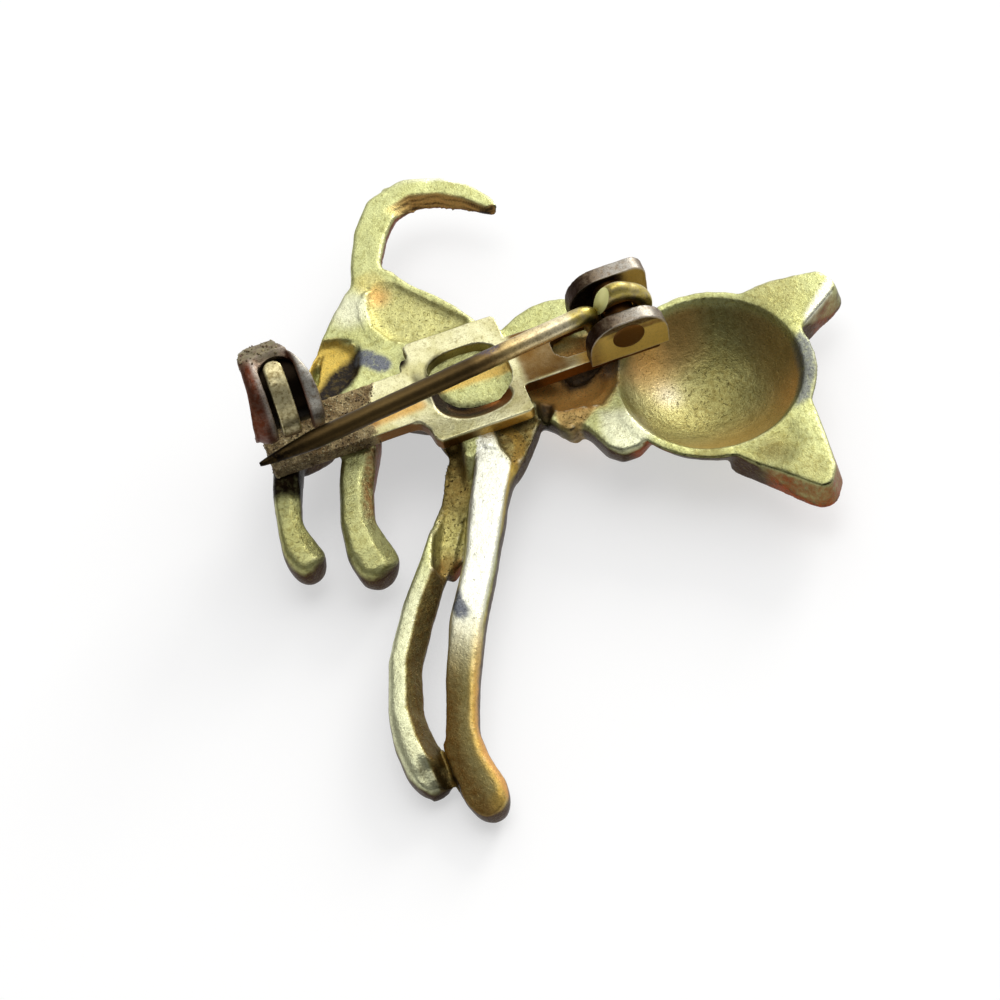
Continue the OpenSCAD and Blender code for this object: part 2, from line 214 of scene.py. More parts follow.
def swept(path, radii, sides):
    """A round wire of changing thickness along a path, closed at both ends."""
    ways = np.gradient(path, axis=0)
    ways /= np.linalg.norm(ways, axis=1)[:, None]
    aside = np.array([0.0, 1.0, 0.0])
    points = []
    for place, way, radius in zip(path, ways, radii):
        aside = aside - way * aside.dot(way)
        aside /= np.linalg.norm(aside)
        other = np.cross(way, aside)
        for k in range(sides):
            turn = 2 * math.pi * k / sides
            points.append(place + radius * (math.cos(turn) * aside + math.sin(turn) * other))
    points += [path[0], path[-1]]
    count = len(path)
    faces = tube_faces(count, sides)
    for k in range(sides):
        after = (k + 1) % sides
        faces.append((count * sides, after, k))
        faces.append((count * sides + 1, (count - 1) * sides + k, (count - 1) * sides + after))
    return facing_out(mesh_of(points, faces))


# Places on the metal
def lumps(points, size, seed, octaves=2):
    """Soft noise from -1 to 1 at each point, with lumps about size millimetres across."""
    shift = Vector((seed * 7.3, seed * 3.1, seed * 5.7))
    return np.array([noise.fractal(Vector(p) / size + shift, 1.0, 2.0, octaves) for p in points])


def ramp(values, low, high):
    """0 below low, 1 above high, and smooth between them."""
    t = np.clip((values - low) / (high - low), 0, 1)
    return t * t * (3 - 2 * t)


def near(points, x, y, radius, soft):
    """1 within radius of a place seen from above, and 0 further out."""
    away = np.hypot(points[:, 0] - x, points[:, 1] - y)
    return 1 - ramp(away, radius - soft / 2, radius + soft / 2)


def off_stretch(points, start, way):
    """Each point's share along a straight stretch, and its offset from it, seen from above."""
    share = np.clip((points[:, :2] - start) @ way / way.dot(way), 0, 1)
    return share, points[:, :2] - start - share[:, None] * way


def along(points, start, end, radius, soft):
    """1 within radius of a line seen from above, and 0 further out."""
    off = off_stretch(points, np.array(start, float), np.subtract(end, start, dtype=float))[1]
    away = np.linalg.norm(off, axis=1)
    return 1 - ramp(away, radius - soft / 2, radius + soft / 2)


def inside(points, ring):
    """How far inside a ring each point lies, seen from above; points outside it are below 0."""
    ring = np.array(ring, float)
    away = np.full(len(points), 1e9)
    within = np.zeros(len(points), bool)
    x, y = points[:, 0], points[:, 1]
    for start, end in zip(ring, np.roll(ring, -1, axis=0)):
        way = end - start
        away = np.minimum(away, np.linalg.norm(off_stretch(points, start, way)[1], axis=1))
        crosses = (start[1] > y) != (end[1] > y)
        if way[1] != 0:
            within ^= crosses & (x < way[0] * (y - start[1]) / way[1] + start[0])
    return np.where(within, away, -away)


def rounded(ring):
    """The ring with its corners cut off twice."""
    ring = np.array(ring, float)
    for _ in range(2):
        after = np.roll(ring, -1, 0)
        ring = np.stack([0.75 * ring + 0.25 * after, 0.25 * ring + 0.75 * after], 1).reshape(-1, 2)
    return [tuple(place) for place in ring]


def patch(points, ring, soft):
    """1 inside a ring, 0 outside it, with a soft edge."""
    return ramp(inside(points, ring), -soft / 2, soft / 2)


def spots(points, *rows):
    """The sum of soft round spots, each a strength, a place, a radius and a softness."""
    return sum(strength * near(points, *spot) for strength, *spot in rows)


def patches(points, *rows):
    """The sum of soft patches, each a strength, a ring and a softness."""
    return sum(strength * patch(points, *ring) for strength, *ring in rows)


def beside(points, line):
    """Each point's share along a line, how far to the line's right it lies, and how far away."""
    line = np.array(line, float)
    lengths = np.linalg.norm(np.diff(line, axis=0), axis=1)
    starts = np.concatenate([[0], np.cumsum(lengths)])
    best = np.full(len(points), 1e9)
    share = np.zeros(len(points))
    side = np.zeros(len(points))
    for start, way, length, so_far in zip(line[:-1], np.diff(line, axis=0), lengths, starts):
        t, off = off_stretch(points, start, way)
        away = np.linalg.norm(off, axis=1)
        closer = away < best
        best = np.where(closer, away, best)
        share = np.where(closer, (so_far + t * length) / starts[-1], share)
        turn = off[:, 0] * way[1] - off[:, 1] * way[0]
        side = np.where(closer, np.sign(turn) * away, side)
    return share, side, best


def neighbour_mean(mesh, values, rounds):
    """The values after each point has taken the mean of its neighbours a number of times."""
    edges = np.empty(len(mesh.edges) * 2, np.int64)
    mesh.edges.foreach_get("vertices", edges)
    edges = edges.reshape(-1, 2)
    count = len(mesh.vertices)
    first = np.concatenate([edges[:, 0], edges[:, 1]])
    second = np.concatenate([edges[:, 1], edges[:, 0]])
    degree = np.bincount(first, minlength=count)
    values = np.array(values, float)
    columns = values.reshape(count, -1)
    for _ in range(rounds):
        total = [np.bincount(first, weights=c[second], minlength=count) for c in columns.T]
        columns = (np.stack(total, 1) / degree[:, None] + columns) / 2
    return columns.reshape(values.shape)


def bulge(mesh, rounds):
    """How far each point stands out of its surroundings, in millimetres; hollows are below 0."""
    points = points_of(mesh)
    return ((points - neighbour_mean(mesh, points, rounds)) * normals_of(mesh)).sum(1)


def mark(mesh, name, values, share=1.0):
    """Keeps a number from 0 to 1 for each point, times a share, for the finish to read."""
    layer = mesh.attributes.new(name, "FLOAT", "POINT")
    layer.data.foreach_set("value", np.asarray(np.clip(values, 0, 1) * share, np.float32))


def piece(name, mesh, finish, body, nodes):
    """A mesh in millimetres from the pad becomes a piece of the brooch."""
    move_points(mesh, (points_of(mesh) + pad_middle) * MM)
    mesh.name = name
    mesh.materials.clear()
    mesh.materials.append(finish)
    mesh.shade_smooth()
    obj = placed(name, mesh)
    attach(obj, body)
    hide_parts(*nodes)


# Finishes
def colour(code):
    """A colour from its six-digit code, as light."""
    parts = [int(code[i:i + 2], 16) / 255 for i in (0, 2, 4)]
    light = [c / 12.92 if c <= 0.04045 else ((c + 0.055) / 1.055) ** 2.4 for c in parts]
    return (*light, 1.0)


class Flow:
    """A shader socket that adds its Math nodes as it is reckoned with."""

    def __init__(self, finish, socket):
        self.finish = finish
        self.socket = socket

    def maths(self, operation, first, second):
        return self.finish.node("ShaderNodeMath", {"operation": operation}, {0: first, 1: second})

    def __add__(self, other):
        return self.maths("ADD", self, other)

    def __radd__(self, other):
        return self.maths("ADD", other, self)

    def __sub__(self, other):
        return self.maths("SUBTRACT", self, other)

    def __rsub__(self, other):
        return self.maths("SUBTRACT", other, self)

    def __mul__(self, other):
        return self.maths("MULTIPLY", self, other)

    def __rmul__(self, other):
        return self.maths("MULTIPLY", other, self)

    def ramp(self, low, high):
        settings = {"interpolation_type": "SMOOTHSTEP"}
        return self.finish.node("ShaderNodeMapRange", settings, {0: self, 1: low, 2: high, 3: 0.0, 4: 1.0})

    def clamped(self):
        return self.finish.node("ShaderNodeClamp", {}, {0: self})


class Finish:
    """A material under construction."""

    def __init__(self, name):
        self.material = bpy.data.materials.new(name)
        self.material.use_nodes = True
        self.tree = self.material.node_tree
        self.tree.nodes.clear()
        place = self.node("ShaderNodeTexCoord", {}, {}, "Object")
        settings = {"operation": "SCALE"}
        self.place = self.node("ShaderNodeVectorMath", settings, {0: place, "Scale": 1 / MM})

    def node(self, kind, settings, values, output=0):
        """Adds a node, set up and fed, and gives one of its outputs."""
        feeds = {key: getattr(value, "socket", value) for key, value in values.items()}
        return Flow(self, add_node(self.tree, kind, settings, feeds).outputs[output])

    def mix(self, amount, first, second):
        """A colour between two, by an amount from 0 to 1."""
        first = colour(first) if isinstance(first, str) else first
        second = colour(second) if isinstance(second, str) else second
        settings = {"data_type": "RGBA", "clamp_factor": True}
        return self.node("ShaderNodeMix", settings, {0: amount, 6: first, 7: second}, 2)

    def coats(self, base, *layers):
        """A colour with others laid over it in turn, each by its amount."""
        for amount, code in layers:
            base = self.mix(amount, base, code)
        return base

    def cloud(self, per_mm, detail, rough=0.55):
        """Noise from 0 to 1, with so many lumps a millimetre."""
        values = {"Vector": self.place, "Scale": per_mm, "Detail": detail, "Roughness": rough}
        return self.node("ShaderNodeTexNoise", {}, values)

    def cells(self, per_mm):
        """The distance from the middle of scattered cells, so many a millimetre."""
        return self.node("ShaderNodeTexVoronoi", {}, {"Vector": self.place, "Scale": per_mm})

    def read(self, name):
        """A number kept on the piece's points."""
        settings = {"attribute_type": "GEOMETRY", "attribute_name": name}
        return self.node("ShaderNodeAttribute", settings, {}, "Fac")

    def close(self, base, rough, metallic, height, strength, distance):
        """Ends the material in a metal with a bumpy surface."""
        values = {"Height": height, "Strength": strength, "Distance": distance * MM}
        normal = self.node("ShaderNodeBump", {}, values)
        values = {"Base Color": base, "Roughness": rough, "Metallic": metallic, "Normal": normal}
        shader = self.node("ShaderNodeBsdfPrincipled", {}, values)
        add_node(self.tree, "ShaderNodeOutputMaterial", {}, {"Surface": shader.socket})
        return self.material


def cast_finish():
    """Pale gold plating on a pitted casting."""
    f = Finish("pale_gold_casting")
    drift = f.cloud(0.35, 3)
    grain = f.cloud(3.2, 4, 0.6)
    fine = f.cloud(9.0, 3, 0.6)
    speck = fine.ramp(0.5, 0.68)
    uneven = f.read("rough")
    hollow = f.read("hollow")
    pale = f.read("pale")
    gold = f.read("gold")
    amber = f.read("amber")
    solder = f.read("solder")
    pits = (f.cloud(5.0, 3, 0.65).ramp(0.58, 0.7) * (uneven * 0.8 + drift * 0.4)).clamped()
    base = f.coats(
        f.mix(drift.ramp(0.3, 0.7), "c6c98f", "b3b477"),
        (grain.ramp(0.45, 0.7) * 0.5, "8b8648"),
        # Painted highlight: near-white on lit tops and edges
        (pale * (1.15 - grain * 0.45), "f4f4e4"),
        # Painted shade: olive in hollows and valleys
        (hollow * (grain * 0.8 + 0.4), "8f8647"),
        # Gold, partly painted light on lit sides
        (gold * (1.2 - grain * 0.5), "d3b24c"),
        (amber * (1.2 - grain * 0.5), "d69a4c"),
        # Olive patina in the dish, and painted shade by the ears
        (f.read("patina") * (grain * 0.7 + 0.6), "7a6c3a"),
        # Brown, partly painted shade on shaded slopes
        (f.read("brown") * (grain * 0.7 + 0.6), "7a5a28"),
        # Painted highlight on raised edges
        (f.read("crest") * 0.65, "f3efcf"),
        # Painted shade: dark brown on steep side walls
        (f.read("wall") * (drift * 0.5 + 0.8), "3a2411"),
        (f.read("copper") * grain.ramp(0.2, 0.6), "8f4620"),
        (speck * (0.4 + uneven * 0.3 - pale * 0.25), "6c6130"),
        (pits * 0.8, "3f3117"),
        # Painted shade: near-black where shadows fall in gaps, pockets and under parts, with a few real grime
        # streaks
        (f.read("soot") * (grain * 0.5 + 0.85), "1c140b"),
        (solder * grain.ramp(0.1, 0.5), "6d7076"),
        (solder * speck * 0.6, "3b3b40"),
    )
    rough = 0.34 + grain * 0.16 + hollow * 0.06 + pits * 0.3 + uneven * 0.1 + solder * 0.1
    metallic = 1 - amber * 0.45 - gold * 0.3
    height = grain * 0.5 + fine * 0.4 - pits * 0.8 + f.cloud(1.1, 2) * 0.5
    return f.close(base, rough, metallic, height, 0.55, 0.12)


def bar_finish():
    """Worn plating on the stamped bar, which is brown with corrosion towards the catch."""
    f = Finish("worn_bar_plating")
    drift = f.cloud(0.6, 3)
    grain = f.cloud(4.0, 4, 0.62)
    fine = f.cloud(11.0, 3, 0.6)
    brown = f.read("brown")
    crust = (f.read("crust") * 1.4 + grain * 1.2 - 0.8).clamped()
    base = f.coats(
        f.mix(drift.ramp(0.3, 0.7), "dcd8ad", "bcb680"),
        (grain.ramp(0.48, 0.75) * 0.6, "877a4a"),
        (f.read("gold") * (1.2 - grain * 0.6), "d2a548"),
        # Painted shade: brown on the bar's side walls
        (f.read("wall"), "6e4a20"),
        (brown * (drift * 0.4 + 0.75), "6b4c22"),
        (f.read("copper") * (grain * 0.6 + 0.4), "a5622f"),
        # Painted highlight on raised edges
        (f.read("crest") * 0.6, "f4efcf"),
        (fine.ramp(0.52, 0.68) * 0.35, "6a5a34"),
        (crust, "7a633c"),
        (crust * f.cloud(1.1, 4).ramp(0.38, 0.68) * 0.8, "b8a678"),
        (crust * fine.ramp(0.48, 0.66) * 0.7, "38281a"),
        (crust * f.cloud(7.0, 2).ramp(0.62, 0.72) * 0.7, "dcd2ae"),
        # Painted shade, near-black, with some grime by the crust
        (f.read("soot"), "1a130d"),
    )
    rough = 0.3 + grain * 0.14 + crust * 0.35 + brown * 0.06
    height = grain * 0.4 + fine * 0.2 + crust * f.cloud(6.0, 3) * 1.6
    return f.close(base, rough, 1 - crust * 0.5, height, 0.5, 0.12)


def ear_finish():
    """Grey-brown metal of the hinge's ears and the catch, with painted silvery highlights on their tops and
    ridges.
    """
    f = Finish("worn_dark_findings")
    grain = f.cloud(3.5, 4, 0.62)
    fine = f.cloud(12.0, 3, 0.6)
    gold = f.read("gold")
    crust = f.read("crust")
    base = f.coats(
        f.mix(grain.ramp(0.35, 0.7), "7a6a55", "4f3d2c"),
        # Painted highlight, silvery
        (f.read("silver") * grain.ramp(0.2, 0.6), "b9b6ac"),
        # Gold, barely metallic, partly painted light on the near ear's face
        (gold * (1.3 - grain * 0.6).clamped(), "dcb95e"),
        # Red-brown, partly painted shade
        (f.read("brown") * (grain * 0.8 + 0.55), "5a2a14"),
        # Painted highlight on raised edges
        (f.read("crest") * (grain + 0.2), "cfc5b4"),
        (fine.ramp(0.5, 0.66) * (0.45 - gold * 0.3), "3a2a1e"),
        # Painted shade, near-black
        (f.read("soot"), "120d09"),
        (crust * grain.ramp(0.35, 0.55), "8f866c"),
    )
    rough = 0.32 + grain * 0.22 + crust * 0.25
    return f.close(base, rough, 1 - gold * 0.75, grain * 0.5 + fine * 0.3, 0.5, 0.1)


def wire_finish():
    """Plated wire, bright gold by the hinge and dark bronze from its middle to the point."""
    f = Finish("pin_wire")
    grain = f.cloud(2.2, 4, 0.6)
    fine = f.cloud(9.0, 3, 0.6)
    along_wire = f.read("along")
    pale = f.read("pale")
    # The pale stop near the bend is a painted highlight; from there the wire runs from gold to dark bronze
    # and a black point
    stops = [
        (0.0, "bba95c"), (0.03, "f0e4be"), (0.2, "cdb47c"), (0.27, "78623c"), (0.34, "43351f"),
        (0.6, "534327"), (0.82, "40321c"), (0.94, "120d09")
    ]
    base = f.coats(
        f.node("ShaderNodeValToRGB", {"stops": stops}, {0: along_wire + (grain - 0.5) * 0.06}),
        (grain.ramp(0.45, 0.75) * 0.45, "5d4a28"),
        (fine.ramp(0.5, 0.68) * 0.4, "463820"),
        (f.read("purple") * fine.ramp(0.3, 0.6), "57505c"),
        # Painted underside: orange reflection near the hinge, shade further along
        (f.read("brown"), f.mix(along_wire.ramp(0.2, 0.32), "b67c34", "3d2c16")),
        # Painted highlight: the loop's cut end, pale and barely metallic
        (pale, "fbf8a4"),
    )
    rough = 0.28 + grain * 0.16 + along_wire * 0.1
    return f.close(base, rough, 1 - pale * 0.9, grain * 0.5 + fine * 0.25, 0.35, 0.06)


def lock_finish():
    """Worn gold plating on the turning lock and the rivet, with painted shade inside the catch."""
    f = Finish("worn_gold")
    grain = f.cloud(4.0, 4, 0.6)
    spotted = (1 - f.cells(3.4).ramp(0.1, 0.24)) * f.cloud(1.2, 2).ramp(0.45, 0.6)
    base = f.coats(
        f.mix(grain.ramp(0.4, 0.7), "cabf93", "8f8158"),
        (spotted * 0.8, "4a3018"),
        (f.read("brown") * grain.ramp(0.0, 0.4), "6a4826"),
        # Painted shade, near-black, inside the catch and between the ears
        (f.read("soot"), "17110b"),
    )
    return f.close(base, 0.3 + grain * 0.2, 1.0, grain * 0.5, 0.4, 0.1)


def crumb_finish():
    """Dull corrosion, from brown to a dusty buff."""
    f = Finish("corrosion_crumbs")
    patchy = f.cloud(1.6, 3)
    grain = f.cloud(9.0, 3)
    base = f.mix(patchy.ramp(0.4, 0.66), "5f4c30", "b0a278")
    base = f.mix(grain.ramp(0.45, 0.7) * 0.6, base, "33281b")
    return f.close(base, 0.7 + grain * 0.25, 0.0, grain, 0.6, 0.08)


# The casting; each ring is a place on its back, seen from above, in millimetres from the pad
rump_hollow = [
    (-3.3, 8.7), (-2.75, 9.3), (-2.1, 9.4), (-1.45, 8.7), (-0.6, 7.5), (0.55, 5.95),
    (1.5, 4.7), (1.5, 4.2), (-0.7, 3.9), (-2.2, 4.2), (-3.2, 4.9), (-3.8, 6.2), (-3.7, 7.6)
]
rump_left = [(-3.5, 8.9), (-2.9, 9.0), (-2.6, 6.0), (-2.6, 4.4), (-3.9, 4.6), (-4.3, 6.2), (-4.2, 7.8)]
side_hollow = [
    (-9.3, 6.2), (-8.0, 6.5), (-6.9, 6.5), (-5.9, 6.25), (-5.2, 5.4), (-5.15, 4.4), (-5.6, 3.4),
    (-6.3, 2.9), (-7.5, 2.3), (-9.3, 2.3)
]
side_filled = [
    (-7.3, 5.4), (-6.8, 6.1), (-6.2, 6.3), (-5.2, 5.5), (-5.2, 4.2), (-6.3, 3.0), (-7.4, 2.4), (-8.3, 2.5),
    (-8.1, 3.6)
]
leg_root = [(-0.6, -2.9), (1.0, -2.9), (1.2, -5.6), (0.4, -6.0), (-0.4, -5.2)]
side_shadow = [
    (-8.3, 3.2), (-7.1, 4.3), (-6.0, 4.75), (-4.9, 5.1), (-5.0, 4.0), (-6.2, 2.7), (-7.4, 2.1), (-8.4, 2.3)
]
web_hollow = [
    (-2.6, -2.6), (-1.5, -2.6), (-2.0, -5.7), (-3.0, -8.1), (-3.9, -9.6), (-4.7, -11.2), (-5.4, -11.4),
    (-5.8, -10.4), (-5.3, -9.0), (-4.6, -7.5), (-3.7, -5.6), (-3.1, -4.1)
]
chest_hollow = [(0.3, -3.0), (3.0, -3.0), (3.1, -4.2), (1.4, -5.9), (0.6, -6.5), (0.2, -4.6)]
neck_sunk = [
    (2.9, -1.0), (5.0, 0.6), (8.0, 0.6), (8.6, -1.0), (7.9, -3.1), (6.6, -4.3), (5.1, -3.9), (3.4, -3.2)
]
neck_bead = [(3.9, -3.3), (5.1, -3.4), (6.3, -4.3), (5.5, -4.8), (4.4, -5.5), (3.8, -4.7)]
neck_gap = [(3.3, -2.2), (4.2, -2.6), (3.8, -3.7), (3.2, -4.2), (2.9, -3.4)]
bar_shadow = [(5.0, -0.6), (8.2, -0.6), (7.5, -1.5), (6.3, -2.0), (5.3, -1.9)]
ruff = [(6.2, -4.8), (8.4, -5.4), (8.5, -7.3), (7.5, -7.9), (6.0, -7.7), (5.8, -6.3)]
grey_rim = [(17.9, -4.5), (18.6, -4.0), (18.9, -5.2), (18.4, -6.9), (17.3, -8.6), (16.3, -8.9), (17.5, -6.6)]
ear_valley = [(12.4, -10.2), (13.8, -10.1), (15.6, -9.6), (15.9, -11.0), (14.5, -12.0), (13.0, -11.7)]
ear_low = [(12.2, -10.2), (12.4, -11.2), (13.2, -12.6), (14.3, -13.2), (15.4, -11.8), (14.4, -10.6)]
ear_edge = [(20.6, -1.8), (21.6, -1.0), (21.3, -2.1), (19.5, -3.5), (19.0, -3.6), (19.3, -3.0)]
dish_brown = [(9.1, -0.3), (12.0, 1.0), (14.5, 1.0), (13.3, -1.6), (11.0, -2.4), (9.2, -2.9), (8.3, -2.6)]
dish_dark = [(14.2, 1.0), (16.6, 0.0), (17.7, -2.2), (16.6, -3.4), (15.1, -2.5), (14.0, -0.8)]
foot_scoop = [(-10.1, -21.1), (-9.2, -21.5), (-8.9, -22.4), (-9.5, -23.2), (-10.1, -23.1), (-10.4, -21.9)]
foot_gold = [(-7.5, -24.4), (-6.8, -24.3), (-6.8, -25.3), (-7.4, -25.9), (-8.0, -25.4)]
hind_shadow = [(-12.3, 0.2), (-10.0, 0.2), (-10.6, -3.2), (-13.0, -2.9)]
left_leg = [
    (-1.80, -3.50), (-3.28, -6.45), (-5.38, -9.81), (-7.42, -12.53), (-9.01, -15.21), (-9.95, -17.95),
    (-10.02, -19.70), (-9.83, -21.35), (-9.74, -22.73)
]
right_leg = [
    (0.10, -4.50), (-1.35, -7.22), (-3.25, -11.17), (-5.06, -14.22), (-6.46, -17.42), (-7.50, -20.29),
    (-7.69, -22.08), (-7.39, -23.81), (-7.23, -25.26)
]
tail = [
    (-3.92, 7.06), (-3.30, 8.70), (-2.73, 11.03), (-1.77, 13.10), (-0.52, 14.67), (1.21, 15.19),
    (3.00, 14.73), (4.34, 13.81), (5.37, 12.66)
]
outer_hind = [(-11.10, -0.50), (-11.83, -2.72), (-12.26, -4.57), (-12.19, -5.99), (-11.79, -6.90)]
inner_hind = [(-6.80, -0.90), (-8.04, -3.63), (-8.69, -5.88), (-8.57, -7.58), (-8.33, -8.64)]
dish_middle = (12.85, -4.7)
dish_r = 5.25
dish_deep = 3.05
# Heights between which the side pocket's gold and painted shadow end, where the outer wall begins
pocket_rim = (3.3, 3.75)


def cast_cat():
    """The cat alone, from its solid: the bar on its back is cut off and comes back as a piece of its own."""
    node = frame["nodes"]["cat_figure"]
    work = bmesh.new()
    work.from_mesh(node.data)
    bmesh.ops.scale(work, vec=(1 / MM,) * 3, verts=work.verts)
    bmesh.ops.translate(work, vec=-Vector(pad_middle), verts=work.verts)
    bmesh.ops.remove_doubles(work, verts=work.verts, dist=weld)
    everything = work.verts[:] + work.edges[:] + work.faces[:]
    cut = bmesh.ops.bisect_plane(
        work, geom=everything, plane_co=(0, 0, back_h + 0.03), plane_no=(0, 0, 1), clear_outer=True
    )
    rim = [e for e in cut["geom_cut"] if isinstance(e, bmesh.types.BMEdge)]
    bmesh.ops.triangle_fill(work, use_beauty=True, edges=rim)
    return cast_skin(as_mesh(work), 0.13, 2)


def scoop(depth_inside, reach, deep):
    """How deep a hollow is, with a crisp rim and a round floor that starts at reach from the rim."""
    t = np.clip(depth_inside / reach, 0, 1)
    return deep * np.sqrt(1 - (1 - t) ** 2)


def crown_of(points, share, away):
    """Height of a limb's ridge at each point's share of its length."""
    steps = np.linspace(0, 1, 26)
    ridge = []
    for step in steps:
        here = (np.abs(share - step) < 0.03) & (away < 0.4)
        ridge.append(points[here, 2].max() if here.any() else back_h)
    return np.interp(share, steps, ridge)


def smooth_plan(mesh, share, rounds):
    """Smooths outlines as seen from above, where share is 1, and keeps every height."""
    points = points_of(mesh)
    for _ in range(rounds):
        for axis in (0, 1):
            mean = neighbour_mean(mesh, points[:, axis], 1)
            points[:, axis] += (mean - points[:, axis]) * share
    move_points(mesh, points)


def from_dish(points):
    """Distance from the middle of the head's dish, seen from above."""
    return np.hypot(points[:, 0] - dish_middle[0], points[:, 1] - dish_middle[1])


def carve_cat(mesh):
    """Cuts the hollows of the back, the limbs' flat tops and slopes, and makes the skin even again."""
    points = points_of(mesh)
    lines = (left_leg, right_leg, tail, outer_hind, inner_hind)
    limbs = np.min([beside(points, line)[2] for line in lines], axis=0)
    web = patch(points, web_hollow, 1.0)
    smooth_plan(mesh, (1 - ramp(limbs, 1.5, 2.0)) * (1 - web) * ramp(np.abs(points[:, 1]), 2.5, 4.0), 30)
    points = points_of(mesh)
    y, z = points.T[1:]
    above = normals_of(mesh)[:, 2] > -0.2
    hollows = [
        (rump_left, rump_left, 0.3, 0.03), (rump_hollow, rump_hollow, 0.9, 0.4),
        (side_filled, side_hollow, 0.45, 0.6), (leg_root, leg_root, 0.3, 0.06),
        (chest_hollow, chest_hollow, 0.4, 0.5)
    ]
    for filled, ring, reach, deep in hollows:
        depth_inside = inside(points, ring)
        floor_here = back_h - scoop(depth_inside, reach, deep)
        raised = (inside(points, filled) > 0) & above & (z > 1.6)
        z[:] = np.where(raised, floor_here, np.minimum(z, floor_here + (depth_inside < 0)))
    depth = 0.22 * patch(points, ear_valley, 1.6)
    web_deep = 1.2 + 0.05 * np.clip(-y, 0, 12)
    scoops = [(web_hollow, 0.5, web_deep), (neck_sunk, 1.0, 0.6), (bar_shadow, 0.5, 1.5)]
    for ring, reach, deep in (*scoops, (neck_gap, 0.4, 1.1)):
        depth = np.maximum(depth, scoop(inside(points, ring), reach, deep))
    bowl = np.clip(1 - (from_dish(points) / dish_r) ** 2, 0, 1) ** 0.85
    z[:] = np.minimum(z, back_h - np.maximum(depth, dish_deep * bowl))
    # Each leg: its line, its drop, where its slope starts and ends beside it, and where it begins along it
    legs = [
        (left_leg, 1.25, 0.1, 0.95, 0.26, 0.34), (right_leg, 0.85, 0.55, -1.15, 0.5, 0.72),
        (outer_hind, 0.7, 0.15, 1.0, 0.15, 0.35), (inner_hind, 0.75, 0.25, 1.05, 0.1, 0.3)
    ]
    read = [beside(points, leg[0]) for leg in legs]
    closest = np.argmin([away for share, side, away in read], axis=0)
    for number, (line, drop, start, end, first, full) in enumerate(legs):
        share, side, away = read[number]
        slope = np.clip((-side - start) / (end - start), 0, 1.2) * ramp(share, first, full)
        edge = 0.3 * np.clip((-side - 0.95) / 0.3, 0, 1) * (line is right_leg) * (1 - ramp(share, 0.4, 0.5))
        surface = crown_of(points, share, away) - 0.16 - drop * slope - edge
        ours = (closest == number) & (away < 1.8) & (share > 0.01)
        z[:] = np.where(ours, np.minimum(z, surface), z)
    share, side, away = beside(points, tail)
    inner = np.clip((side - 0.25) / 0.7, 0, 1.3) * ramp(share, 0.5, 0.75)
    level = crown_of(points, share, away) - 0.15 - 0.95 * inner
    z[:] = np.where((away < 1.7) & (share > 0.12), np.minimum(z, level), z)
    z -= 0.5 * patch(points, foot_scoop, 0.6) * (z > 1.0)
    move_points(mesh, points)
    return cast_skin(mesh, 0.115, 2)


